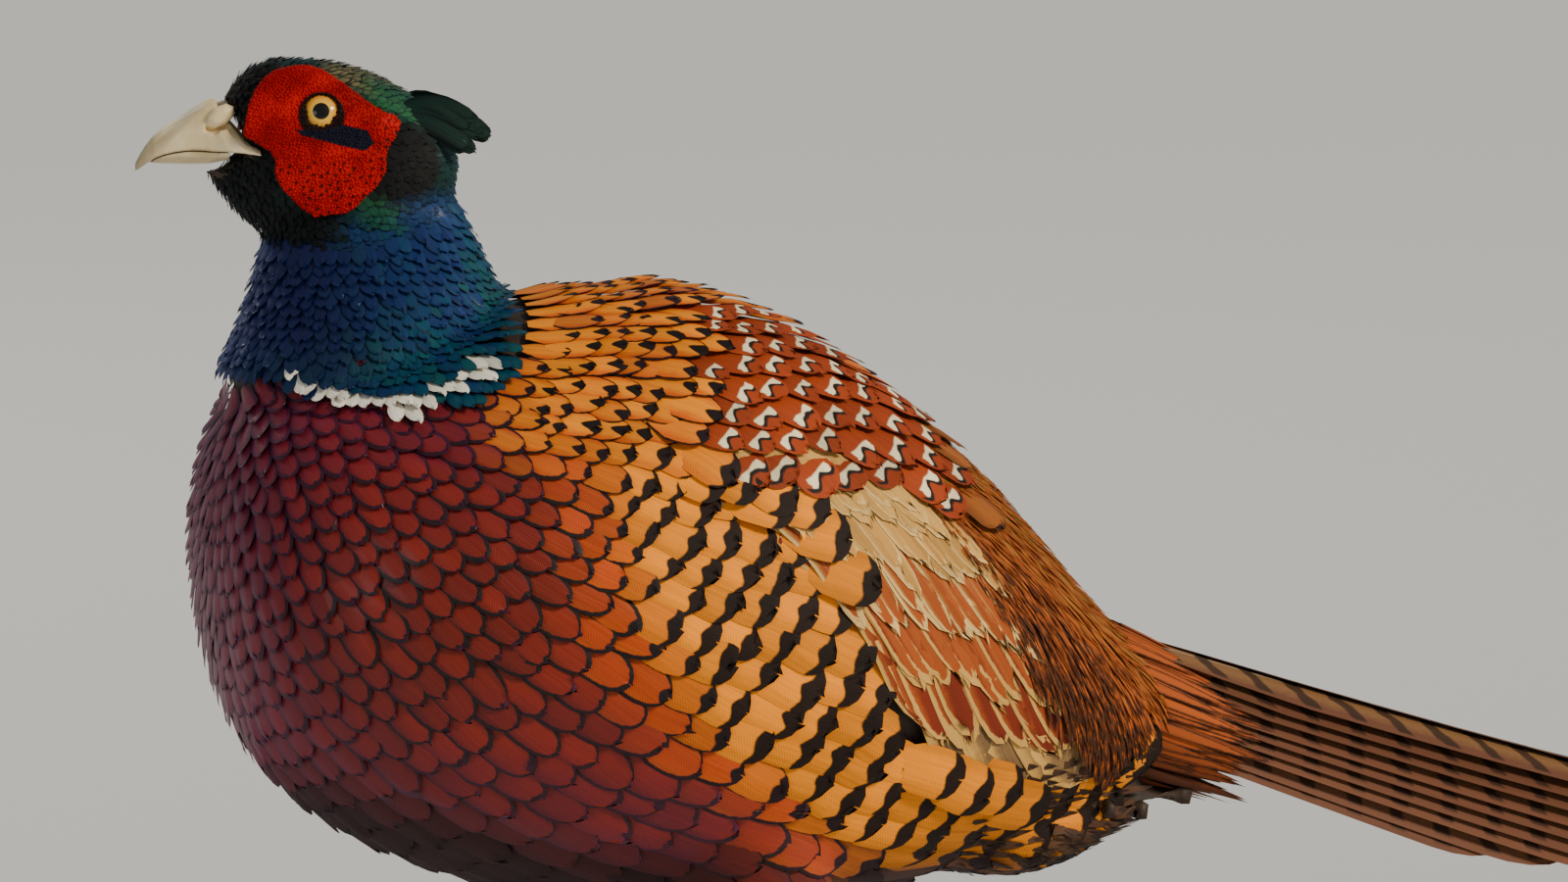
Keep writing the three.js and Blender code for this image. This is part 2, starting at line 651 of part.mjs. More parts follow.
// A claw curls down from the end of its toe.
function claw({ turn, length, wide }) {
  const heading = deg(180 + turn);
  const count = 4;
  const rings = Array.from({ length: count + 1 }, (_, i) => {
    const t = i / count;
    const reach = length + GAP + CLAW.length * t * Math.cos(deg(CLAW.curl) * t);
    const rise = mix(1.9, 0.6, t * t);
    const thick = mix(Math.min(CLAW.thick, wide * 0.55), 0.28, t);
    return Array.from({ length: 6 }, (_, j) => {
      const angle = (j / 6) * 2 * Math.PI;
      const side = thick * Math.sin(angle) * 0.85;
      return new THREE.Vector3(
        ANKLE.x + reach * Math.cos(heading) - side * Math.sin(heading),
        -LEG_Y + reach * Math.sin(heading) + side * Math.cos(heading),
        rise + thick * Math.cos(angle));
    });
  });
  return solid(loft(rings));
}

function leg() {
  const thighs = (grow) => solid(loft(levelSections(THIGH, 6, 14, grow)));
  const ankle = (grow) => ball(ANKLE.radius + grow, new THREE.Vector3(ANKLE.x, -LEG_Y, ANKLE.z), 10, 8);
  const foot = join([ankle(0), ...TOES.map(toe)]);
  const shank = solid(loft(levelSections(SHANK, 8, 10)));
  const spur = solid(new THREE.ConeGeometry(SPUR.thick, SPUR.length, 9))
    .rotate([0, 0, 35]).rotate([0, 0, -115]).translate([SPUR.x, -SPUR.y, SPUR.z]);
  return {
    thigh: thighs(0).subtract(torso(GAP)),
    shank: shank.subtract(thighs(GAP)).subtract(ankle(GAP)),
    foot,
    spur: spur.subtract(solid(loft(levelSections(SHANK, 8, 10, GAP)))),
  };
}

// A dark tuft at the back of the crown, of flat tapered locks that fan from one root.
function earTuft() {
  const { a, y, z, length, spread, locks } = EAR_TUFT;
  const pieces = [solid(new THREE.SphereGeometry(1, 8, 5)).scale([7, 3.4, 5])
    .translate([NECK_AXIS_X - a + 4, -y, z - 1.5])];
  for (let i = 0; i < locks; i++) {
    const f = (2 * i) / (locks - 1) - 1;
    const path = (t) => ({
      point: headPlace(a - length * t * (1 - 0.1 * f * f), -(y + 1.1 * f + 3 * t),
        z + 2.4 * Math.sin(Math.PI * t) - 6 * t - f * spread * (0.35 + 0.65 * Math.sin((Math.PI / 2) * t))),
      across: new THREE.Vector3(0.1, -0.25, 1).normalize(),
      out: new THREE.Vector3(0, -1, -0.25).normalize(),
    });
    pieces.push(vane(path, { half: 4, along: 3 }));
  }
  return join(pieces).subtract(straightHead(GAP));
}

// Assembly
const wingLeft = wing();
place("torso", torso(0), COLOURS.body);
place("neck", neckLoft(0).subtract(torso(GAP)).subtract(turned(straightHead(GAP))), COLOURS.neck, 0.45);

place("head", turned(head()), COLOURS.head, 0.5);
place("bill_upper", turned(upperBill()), COLOURS.bill, 0.4);
place("bill_lower", turned(lowerBill()), COLOURS.bill, 0.4);
for (const { side, flip } of SIDES) {
  place(`eye_${side}`, turned(flip(ball(EYE.radius, headPlace(EYE.a, -EYE.y, EYE.z)))), COLOURS.eye, 0.1);
  place(`wattle_${side}`, turned(flip(wattle())).subtract(neckLoft(GAP)), COLOURS.wattle, 0.6);
  place(`ear_tuft_${side}`, turned(flip(earTuft())), COLOURS.tuft, 0.5);
}

for (const { side, flip } of SIDES) place(`wing_${side}`, flip(wingLeft), COLOURS.wing);
const tailSolid = tail();
place("tail", tailSolid, COLOURS.tail);
place("rump_plumes", rump(), COLOURS.rump);
place("vent", vent(), COLOURS.vent);

const limb = leg();
for (const { side, flip } of SIDES) {
  place(`thigh_${side}`, flip(limb.thigh), COLOURS.thigh);
  place(`shank_${side}`, flip(limb.shank), COLOURS.leg, 0.5);
  place(`foot_${side}`, flip(limb.foot), COLOURS.leg, 0.5);
  place(`spur_${side}`, flip(limb.spur), COLOURS.claw, 0.35);
  for (const each of TOES) place(`claw_${each.name}_${side}`, flip(claw(each)), COLOURS.claw, 0.35);
}

// The origin is on the floor under the middle of the bird's box.
const box = new THREE.Box3().setFromObject(bird);
const centre = box.getCenter(new THREE.Vector3());
bird.position.set(-centre.x, -centre.y, -box.min.z);

export default bird;
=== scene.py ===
"""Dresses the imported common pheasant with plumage, bare skin, bill, eyes and legs, and lights it."""

import logging
import math
from collections.abc import Callable
from dataclasses import dataclass, replace
from enum import Enum
from itertools import product
from typing import Any, ClassVar

import bmesh
import bpy
import numpy as np
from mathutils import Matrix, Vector
from mathutils.bvhtree import BVHTree
from mathutils.kdtree import KDTree


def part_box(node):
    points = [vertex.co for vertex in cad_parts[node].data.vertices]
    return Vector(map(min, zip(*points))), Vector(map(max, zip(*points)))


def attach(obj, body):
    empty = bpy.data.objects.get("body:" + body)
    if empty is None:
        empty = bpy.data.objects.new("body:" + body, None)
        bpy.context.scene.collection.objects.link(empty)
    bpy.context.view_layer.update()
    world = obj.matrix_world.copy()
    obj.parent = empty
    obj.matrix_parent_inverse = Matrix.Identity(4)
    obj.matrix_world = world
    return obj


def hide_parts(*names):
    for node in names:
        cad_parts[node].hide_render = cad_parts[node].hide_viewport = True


Array = np.ndarray
Number = float | Array
Tint = tuple | Array
Rule = Callable[[Array], Array]  # from places to one value for each
Object = bpy.types.Object
Mesh = bpy.types.Mesh
Material = bpy.types.Material
Node = bpy.types.Node
NodeTree = bpy.types.NodeTree
Socket = bpy.types.NodeSocket
Feed = Any  # a socket to link from, or a value
Rng = np.random.Generator

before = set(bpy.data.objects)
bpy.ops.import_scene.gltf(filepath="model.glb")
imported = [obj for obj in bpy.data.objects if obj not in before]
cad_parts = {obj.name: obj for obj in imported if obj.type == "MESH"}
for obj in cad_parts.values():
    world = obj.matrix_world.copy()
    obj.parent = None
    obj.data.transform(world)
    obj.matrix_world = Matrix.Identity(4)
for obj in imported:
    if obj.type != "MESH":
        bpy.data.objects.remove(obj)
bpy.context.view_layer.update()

LOG = logging.getLogger("pheasant")
TORSO_FRONT = -142.5  # where the torso begins in the bird's own frame, in mm; it faces -X, floor at 0
SHIFT = np.array([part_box("torso")[0][0] * 1000 - TORSO_FRONT, 0.0, 0.0])
NECK_AXIS = np.array([-95.7, 0.0, -1.5])  # the upright line that the head turns about
HEAD_TURN = math.radians(12)
FORWARD = np.array([-math.cos(HEAD_TURN), math.sin(HEAD_TURN), 0.0])
RIGHTWARD = np.array([math.sin(HEAD_TURN), math.cos(HEAD_TURN), 0.0])
UPWARD = np.array([0.0, 0.0, 1.0])
SEED = 7


def srgb(red: float, green: float, blue: float) -> Array:
    """A linear colour from one given in display values of 0 to 255."""
    values = np.array([red, green, blue]) / 255
    return np.where(values <= 0.04045, values / 12.92, ((values + 0.055) / 1.055) ** 2.4)


def unit(vectors: Array) -> Array:
    """The vectors at length one."""
    return vectors / np.maximum(np.linalg.norm(vectors, axis=-1, keepdims=True), 1e-9)


def smooth(low: float, high: float, values: Array) -> Array:
    """A soft step from 0 at low to 1 at high."""
    t = np.clip((values - low) / (high - low), 0, 1)
    return t * t * (3 - 2 * t)


def blend(low: Array, high: Array, share: Array) -> Array:
    """Rows of low turned into rows of high by a share for each row."""
    share = np.asarray(share)[..., None]
    return low * (1 - share) + high * share


def inside(points: Array, outline: Array) -> Array:
    """Whether points of a plane lie inside a closed outline.

    Args:
        points: places in the plane, two columns.
        outline: the outline's corners in order.

    Returns:
        One truth value for each point.
    """
    found = np.zeros(len(points), bool)
    for (x0, y0), (x1, y1) in zip(outline, np.roll(outline, -1, 0)):
        crossed = (y0 > points[:, 1]) != (y1 > points[:, 1])
        found ^= crossed & (points[:, 0] < (x1 - x0) * (points[:, 1] - y0) / (y1 - y0 + 1e-9) + x0)
    return found


def from_head(a: Number, y: Number, z: Number) -> Array:
    """A place by its distance ahead of the neck's axis, to the head's right and above the floor."""
    outer = np.multiply.outer
    return NECK_AXIS + outer(a, FORWARD) + outer(y, RIGHTWARD) + outer(z, UPWARD)


def in_head(points: Array) -> tuple[Array, Array, Array]:
    """How far ahead, to the right and above the floor the points lie in the head's frame."""
    away = points - NECK_AXIS
    return away @ FORWARD, away @ RIGHTWARD, away[..., 2]


class Side(Enum):
    """The bird's sides, by the sign of y."""

    LEFT = -1
    RIGHT = 1

    @property
    def word(self) -> str:
        """The ending of this side's nodes."""
        return self.name.lower()


# Meshes


def make_object(name: str, vertices: Array, faces: Any) -> Object:
    """An object from places in the bird's frame in mm and faces of one length.

    Args:
        name: the object's name.
        vertices: places in mm of the bird's frame.
        faces: vertex numbers, one row for each face.

    Returns:
        The object, in the scene, in metres.
    """
    mesh = bpy.data.meshes.new(name)
    faces = np.asarray(faces, np.int32)
    mesh.vertices.add(len(vertices))
    mesh.vertices.foreach_set("co", ((vertices + SHIFT) / 1000).astype(np.float32).ravel())
    mesh.loops.add(faces.size)
    mesh.loops.foreach_set("vertex_index", faces.ravel())
    mesh.polygons.add(len(faces))
    mesh.polygons.foreach_set("loop_start", np.arange(0, faces.size, faces.shape[1], dtype=np.int32))
    mesh.polygons.foreach_set("use_smooth", np.full(len(faces), True))
    mesh.update(calc_edges=True)
    made = bpy.data.objects.new(name, mesh)
    bpy.context.scene.collection.objects.link(made)
    return made


def set_uv(made: Object, name: str, places: Array) -> None:
    """Writes a UV map from one place for each vertex.

    Args:
        made: the object.
        name: the map's name.
        places: a UV place for each vertex.
    """
    mesh = made.data
    corners = np.zeros(len(mesh.loops), np.int32)
    mesh.loops.foreach_get("vertex_index", corners)
    layer = mesh.uv_layers.new(name=name)
    layer.data.foreach_set("uv", places[corners].astype(np.float32).ravel())


def set_attribute(made: Object, name: str, values: Array) -> None:
    """Writes a number or a colour for each vertex.

    Args:
        made: the object.
        name: the attribute's name.
        values: one number, or three of a colour, for each vertex.
    """
    values = np.asarray(values, np.float32)
    if values.ndim == 1:
        made.data.attributes.new(name, "FLOAT", "POINT").data.foreach_set("value", values)
        return
    alpha = np.ones((len(values), 1), np.float32)
    layer = made.data.attributes.new(name, "FLOAT_COLOR", "POINT")
    layer.data.foreach_set("color", np.hstack([values, alpha]).ravel())


def places_of(mesh: Mesh) -> Array:
    """The mesh's vertices, in mm of the bird's frame.

    Args:
        mesh: the mesh.

    Returns:
        One row for each vertex.
    """
    places = np.zeros(len(mesh.vertices) * 3)
    mesh.vertices.foreach_get("co", places)
    return places.reshape(-1, 3) * 1000 - SHIFT


def triangles_of(mesh: Mesh) -> Array:
    """The mesh's triangles.

    Args:
        mesh: the mesh.

    Returns:
        Three vertex numbers for each triangle.
    """
    mesh.calc_loop_triangles()
    triangles = np.zeros(len(mesh.loop_triangles) * 3, np.int32)
    mesh.loop_triangles.foreach_get("vertices", triangles)
    return triangles.reshape(-1, 3)


def spaced(ring: Array, steps: Array, count: int, stagger: float) -> Array:
    """Places at even distances along a closed ring.

    Args:
        ring: places round the ring.
        steps: the distance from each of them to the next.
        count: how many places are made.
        stagger: share of a step by which they move on.

    Returns:
        The places, one row each.
    """
    marks = np.concatenate([[0], np.cumsum(steps)])
    spots = (np.arange(count) + stagger) / count * marks[-1]
    closed = np.vstack([ring, ring[:1]])
    return np.stack([np.interp(spots, marks, closed[:, k]) for k in range(3)], 1)


def ways_round(axis: Array, side: Array, turn: Array, fall: Array) -> Array:
    """Directions by their turn round an axis, from a side, and their fall from the axis.

    Args:
        axis: direction of length one.
        side: direction of length one across it.
        turn: turn round the axis, in radians.
        fall: angle from the axis, in radians.

    Returns:
        Directions of length one.
    """
    third = np.cross(axis, side)
    turn, fall = turn[..., None], fall[..., None]
    return np.cos(fall) * axis + np.sin(fall) * (np.cos(turn) * side + np.sin(turn) * third)


def apply_modifiers(made: Object) -> None:
    """Makes the object's modifiers part of its mesh.

    Args:
        made: the object.
    """
    evaluated = made.evaluated_get(bpy.context.evaluated_depsgraph_get())
    mesh = bpy.data.meshes.new_from_object(evaluated)
    made.modifiers.clear()
    made.data = mesh


def keep_largest(made: Object) -> None:
    """Drops all but the mesh's largest connected part.

    Args:
        made: the object.
    """
    mesh = made.data
    ends = np.zeros(len(mesh.edges) * 2, np.int32)
    mesh.edges.foreach_get("vertices", ends)
    first, second = ends.reshape(-1, 2).T
    label = np.arange(len(mesh.vertices))
    while True:
        low = np.minimum(label[first], label[second])
        after = label.copy()
        np.minimum.at(after, first, low)
        np.minimum.at(after, second, low)
        after = after[after]
        if (after == label).all():
            break
        label = after
    loose = label != np.bincount(label).argmax()
    if loose.any():
        work = bmesh.new()
        work.from_mesh(mesh)
        bmesh.ops.delete(work, geom=[v for v, drop in zip(work.verts, loose) if drop], context="VERTS")
        work.to_mesh(mesh)
        work.free()


def fused(name: str, nodes: tuple[str, ...], voxel: float, rounds: int, inflate: float = 0.0) -> Object:
    """One smooth closed surface round copies of several CAD nodes.

    Args:
        name: the new object's name.
        nodes: names of the nodes.
        voxel: edge of the grid that it is rebuilt on, in mm.
        rounds: how many times it is smoothed.
        inflate: how far it is moved out, in mm.

    Returns:
        The object, at the origin, with no modifiers.
    """
    corners, triangles, count = [], [], 0
    for node in nodes:
        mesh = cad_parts[node].data
        places, faces = places_of(mesh), triangles_of(mesh)
        _, first, back = np.unique(np.round(places, 3), axis=0, return_index=True, return_inverse=True)
        faces = back.ravel()[faces] + count
        faces = faces[(faces != np.roll(faces, 1, 1)).all(1)]
        corners.append(places[first])
        triangles.append(faces)
        count += len(first)
    made = make_object(name, np.vstack(corners), np.vstack(triangles))
    grid = made.modifiers.new("grid", "REMESH")
    grid.mode = "VOXEL"
    grid.voxel_size = voxel / 1000
    grid.use_smooth_shade = True
    relax = made.modifiers.new("relax", "SMOOTH")
    relax.factor = 0.5
    relax.iterations = rounds
    if inflate:
        grown = made.modifiers.new("grown", "DISPLACE")
        grown.mid_level = 0
        grown.strength = inflate / 1000
    apply_modifiers(made)
    keep_largest(made)
    return made


class Surface:
    """A smooth form that feathers lie on, in mm of the bird's frame."""

    def __init__(self, made: Object) -> None:
        """Reads the object's mesh.

        Args:
            made: an object made in the bird's frame.
        """
        self.corners, self.faces = places_of(made.data), triangles_of(made.data)
        a, b, c = (self.corners[self.faces[:, k]] for k in range(3))
        across = np.cross(b - a, c - a)
        self.areas = np.linalg.norm(across, axis=1) / 2
        normals = np.zeros_like(self.corners)
        for k in range(3):
            np.add.at(normals, self.faces[:, k], across)
        self.normals = unit(normals)
        self.tree = BVHTree.FromPolygons(self.corners.tolist(), self.faces.tolist())

    def _normals_at(self, places: Array, faces: Array) -> Array:
        """Smooth normals at places on faces.

        Args:
            places: places in mm of the bird's frame.
            faces: the face of each place.

        Returns:
            Directions of length one.
        """
        corners = self.corners[self.faces[faces]]
        first = corners[:, 0]
        edge, side, away = corners[:, 1] - first, corners[:, 2] - first, places - first
        pairs = (edge, edge), (edge, side), (side, side), (away, edge), (away, side)
        dots = [np.einsum("ij,ij->i", p, q) for p, q in pairs]
        below = np.maximum(dots[0] * dots[2] - dots[1] ** 2, 1e-12)
        second = (dots[2] * dots[3] - dots[1] * dots[4]) / below
        third = (dots[0] * dots[4] - dots[1] * dots[3]) / below
        shares = np.clip(np.stack([1 - second - third, second, third], 1), 0, 1)
        return unit(np.einsum("ij,ijk->ik", shares, self.normals[self.faces[faces]]))

    def near(self, points: Array) -> tuple[Array, Array]:
        """The nearest places on the surface and the smooth normals there.

        Args:
            points: places in mm of the bird's frame. In any number of rows.

        Returns:
            Places and normals, both in the form of the points.
        """
        flat = points.reshape(-1, 3)
        hits = [self.tree.find_nearest(p) for p in flat.tolist()]
        places = np.array([h[0] for h in hits])
        normals = self._normals_at(places, np.array([h[2] for h in hits]))
        return places.reshape(points.shape), normals.reshape(points.shape)

    def cast(self, start: Any, directions: Array) -> Array:
        """Where rays from a place inside leave the surface.

        Args:
            start: the place inside.
            directions: one row for each ray.

        Returns:
            A place for each ray, or its start if it meets nothing.
        """
        far = np.asarray(start) + unit(directions) * 900
        hits = [self.tree.ray_cast(p, q) for p, q in zip(far.tolist(), (-unit(directions)).tolist())]
        return np.array([h[0] if h[0] is not None else start for h in hits])

    def scatter(self, spacing: float, keep: Rule, rng: Rng) -> Array:
        """Places on the surface at least a distance apart.

        Args:
            spacing: that distance, in mm.
            keep: function from places to whether feathers grow there.
            rng: random generator.

        Returns:
            The places, in random order.
        """
        centres = self.corners[self.faces].mean(1)
        kept = np.flatnonzero(keep(centres))
        weights = self.areas[kept] / (spacing * spacing)
        count = int(weights.sum() * 6)
        chosen = self.faces[rng.choice(kept, count, p=weights / weights.sum())]
        r, s = np.sqrt(rng.random(count)), rng.random(count)
        shares = np.stack([1 - r, r * (1 - s), r * s], 1)
        places = np.einsum("ij,ijk->ik", shares, self.corners[chosen])
        taken, picked = {}, []
        for i, place in enumerate(places.tolist()):
            key = tuple(int(v // spacing) for v in place)
            cells = (tuple(k + d for k, d in zip(key, way)) for way in product((-1, 0, 1), repeat=3))
            near = (other for cell in cells for other in taken.get(cell, ()))
            if all(math.dist(place, other) >= spacing for other in near):
                taken.setdefault(key, []).append(place)
                picked.append(i)
        return places[picked]


# Feathers


class Shape(Enum):
    """Outlines of a vane."""

    SCALE = "scale"
    SQUARE = "square"
    BLADE = "blade"
    STRAND = "strand"

    def width(self, v: Array) -> Array:
        """Share of the half width at a share v of the length.

        Args:
            v: shares of the length.

        Returns:
            The shares, in the form of v.
        """
        if self is Shape.STRAND:
            return np.minimum(1, 0.55 + 2 * v) * np.clip(1 - v**2.4, 0, 1) ** 0.85 + 0.03
        forms = {Shape.SCALE: (1.4, 0.48, 2.2), Shape.SQUARE: (1.4, 0.62, 3), Shape.BLADE: (5, 0.8, 2.4)}
        spread, round_from, power = forms[self]
        rounded = np.clip((v - round_from) / (1 - round_from), 0, 1) ** power
        return np.minimum(1, 0.5 + spread * v) * np.sqrt(np.clip(1 - rounded, 0.003, 1))

    def rows(self, count: int) -> Array:
        """Places along the length, closer where the outline rounds."""
        t = np.linspace(0, 1, count + 1)
        return 1 - (1 - t) ** (1.25 if self is Shape.STRAND else 1.6)


@dataclass(frozen=True)
class Cut:
    """The form that the feathers of a tract share, with lifts above the skin in mm."""

    shape: Shape = Shape.SCALE
    rows: int = 7
    columns: int = 6
    root_lift: float = -0.6
    tip_lift: float = 2.0
    camber: float = 0.5
    shingle: float = 0.0  # how fast the web rises towards its lower edge
    fray: float = 0.035  # unevenness of the tip, as a share of the length


@dataclass
class Look:
    """Colours and marks of a tract's feathers, one row for each feather."""

    ground: Array
    mark: Array
    base: Array
    reach: Array  # where along the vane the mark begins
    wave: Array  # how far the mark's edge swings
    edge: Array  # how wide the mark runs round the outline, in mm
    line: Array  # how dark a line runs inside the mark
    shine: Array

    @classmethod
    def plain(
        cls, count: int, colour: Tint, mark: Tint | None = None, base: Tint | None = None, reach: float =
        2.0, wave: float = 0.0, edge: float = 0.0, line: float = 0.0, shine: float = 0.0,
    ) -> "Look":
        """The same look for every feather.

        Args:
            count: how many feathers there are.
            colour: colour of the ground.
            mark: colour of the tip's band and the outline, or the ground's.
            base: colour of the sides, or the ground's.
            reach: where the mark begins; over 1 is no band.
            wave: how far the mark's edge swings.
            edge: width of the outline, in mm.
            line: how dark the line inside the mark is.
            shine: how much the feather shines, by real gloss and by the painted sheen.

        Returns:
            The looks of all the feathers.
        """
        colours = (colour, colour if mark is None else mark, colour if base is None else base)
        rows = [np.tile(c, (count, 1)) for c in colours]
        return cls(*rows, *(np.full(count, float(v)) for v in (reach, wave, edge, line, shine)))

    def chosen(self, picked: Array) -> "Look":
        """The looks of some of the feathers."""
        return Look(*(getattr(self, name)[picked] for name in self.__dataclass_fields__))

    def mixed(self, other: "Look", share: Array) -> "Look":
        """This look turned into another by a share for each feather.

        Args:
            other: the other looks.
            share: share of the other, for each feather.

        Returns:
            The mixed looks.
        """
        parts = []
        for name in self.__dataclass_fields__:
            low, high = getattr(self, name), getattr(other, name)
            parts.append(blend(low, high, share) if low.ndim == 2 else low * (1 - share) + high * share)
        return Look(*parts)


class Coat:
    """One mesh of feathers, gathered tract by tract."""

    def __init__(self, name: str, unwrap: Rule, seed: int = SEED) -> None:
        """Takes a name, an unwrap from roots to UV places and a seed.

        Args:
            name: the piece's name.
            unwrap: function from roots to UV places.
            seed: seed of the random draws.
        """
        self.name = name
        self.unwrap = unwrap
        self.rng = np.random.default_rng(seed)
        self.parts = []
        self.faces = []
        self.count = 0

    def webs(
        self, cut: Cut, axes: Array, normals: Array, halves: Array, look: Look, surface: Surface | None =
        None, mirror: bool = False, lifts: Number = 0.0,
    ) -> None:
        """Adds feathers along their shafts.

        Args:
            cut: their shared form.
            axes: places along each shaft, feathers by rows by 3.
            normals: the outward direction at each of those places.
            halves: half width of each feather.
            look: their colours and marks.
            surface: the form that the webs are bent onto, if any.
            mirror: whether they are made again on the other side.
            lifts: how much further each feather stands out, in mm.
        """
        count = len(axes)
        v = cut.shape.rows(cut.rows)
        u = np.linspace(-1, 1, cut.columns + 1)
        width = cut.shape.width(v)
        ahead = unit(np.gradient(axes, axis=1))
        across = unit(np.cross(normals, ahead))
        lengths = np.linalg.norm(np.diff(axes, axis=1), axis=2).sum(1)
        reach = halves[:, None, None] * width[None, :, None] * u[None, None, :]
        places = axes[:, :, None] + across[:, :, None] * reach[..., None]
        ragged = self.rng.normal(0, cut.fray, (count, 1, len(u)))
        ragged = ragged * v[None, :, None] ** 3 * lengths[:, None, None]
        places = places + ahead[:, :, None] * ragged[..., None]
        rise = cut.root_lift + (cut.tip_lift - cut.root_lift) * v[None, :, None] ** 1.1
        rise = rise + self.rng.normal(0, 0.12, (count, 1, 1)) * v[None, :, None]
        left = np.where(axes[:, 0, 1] > 0, -1.0, 1.0)[:, None, None]
        rise = rise - cut.camber * (width[:, None] * u[None, :]) ** 2 - cut.shingle * reach * left
        rise = rise + np.broadcast_to(lifts, (count,))[:, None, None] * np.minimum(1, 0.3 + v)[None, :, None]
        if surface is None:
            outward = np.repeat(normals[:, :, None], len(u), 2)
        else:
            places, outward = surface.near(places)
        places = places + outward * rise[..., None]
        rows, columns = len(v), len(u)
        vane = np.stack([0.5 + 0.5 * width[:, None] * u[None, :], np.repeat(v[:, None], columns, 1)], -1)
        along = lengths[:, None, None] * v[None, :, None] * np.ones((1, 1, columns))
        side_room = (width[:, None] * (1 - np.abs(u)))[None] * halves[:, None, None]
        inset = np.minimum(side_room, (1 - v)[None, :, None] * lengths[:, None, None])
        self._gather(places, vane, inset, along, axes[:, 0], look, flip=False)
        if mirror:
            other = places * np.array([1, -1, 1])
            self._gather(other, vane, inset, along, axes[:, 0] * np.array([1, -1, 1]), look, flip=True)

    def _gather(
        self, places: Array, vane: Array, inset: Array, along: Array, roots: Array, look: Look, flip: bool,
    ) -> None:
        """Keeps the feathers' vertices, faces and attributes.

        Args:
            places: feathers by rows by columns by 3.
            vane: UV places within a feather.
            inset: distance from the outline, in mm.
            along: distance from the root, in mm.
            roots: root of each feather.
            look: their colours and marks.
            flip: whether the faces turn the other way.
        """
        count, rows, columns = places.shape[:3]
        size = rows * columns
        r, c = np.meshgrid(np.arange(rows - 1), np.arange(columns - 1), indexing="ij")
        first = (r * columns + c).ravel()
        quads = np.stack([first, first + columns, first + columns + 1, first + 1], 1)
        if flip:
            quads = quads[:, ::-1]
        starts = self.count + size * np.arange(count)
        self.faces.append((starts[:, None, None] + quads[None]).reshape(-1, 4))
        self.count += count * size
        patch = self.unwrap(roots)[:, None] + 0.003 * (vane.reshape(1, size, 2) - 0.5)

        def spread(values: Array) -> Array:
            """One value for each feather, given to all its vertices."""
            return np.repeat(values, size, axis=0)

        self.parts.append({
            "places": places.reshape(-1, 3),
            "vane": np.tile(vane.reshape(size, 2), (count, 1)),
            "patch": patch.reshape(-1, 2),
            "inset": inset.reshape(-1),
            "along": along.reshape(-1),
            "tone": spread(self.rng.random(count)),
            **{name: spread(getattr(look, name)) for name in look.__dataclass_fields__},
        })

    def grow(
        self, surface: Surface, cut: Cut, roots: Array, headings: Array, lengths: Array, halves: Array,
        look: Look, mirror: bool = False, lifts: Number = 0.0,
    ) -> None:
        """Adds feathers that lie back from their roots over a surface, as webs does.

        Args:
            surface: the form they lie on.
            cut: their shared form.
            roots: where they grow.
            headings: the way each one points, before it is laid flat.
            lengths: length of each, in mm.
            halves: half width of each, in mm.
            look: their colours and marks.
            mirror: whether they are made again on the other side.
            lifts: how much further each stands out, in mm.
        """
        v = cut.shape.rows(cut.rows)
        _, normals = surface.near(roots)
        headings = headings - normals * (headings * normals).sum(-1, keepdims=True)
        yaw = self.rng.normal(0, 0.07, len(roots))[:, None]
        headings = unit(unit(headings) + np.cross(normals, unit(headings)) * yaw)
        lengths = lengths * self.rng.normal(1, 0.05, len(roots))
        axes = roots[:, None] + headings[:, None] * (lengths[:, None] * v)[..., None]
        onto, outward = surface.near(axes)
        halves = halves * self.rng.normal(1, 0.04, len(roots))
        self.webs(cut, onto, outward, halves, look, surface, mirror, lifts)

    def piece(self, material: Material, nodes: tuple[str, ...]) -> None:
        """The object, with its UV maps, attributes, material and place in the frame.

        Args:
            material: its material.
            nodes: CAD nodes that it replaces.
        """
        gathered = {key: np.concatenate([part[key] for part in self.parts]) for key in self.parts[0]}
        made = make_object(self.name, gathered["places"], np.concatenate(self.faces))
        set_uv(made, "Vane", gathered["vane"])
        set_uv(made, "OFBake", gathered["patch"])
        for key in ("inset", "along", "tone", *Look.__dataclass_fields__):
            set_attribute(made, key, gathered[key])
        made.data.materials.append(material)
        settle(made, nodes)
        LOG.info("%s: %d quads", self.name, len(made.data.polygons))


def settle(made: Object, nodes: tuple[str, ...]) -> None:
    """Sets a piece in the frame in place of CAD nodes.

    Args:
        made: the piece.
        nodes: names of the nodes that it replaces.
    """
    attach(made, "root")
    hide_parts(*nodes)


# Materials


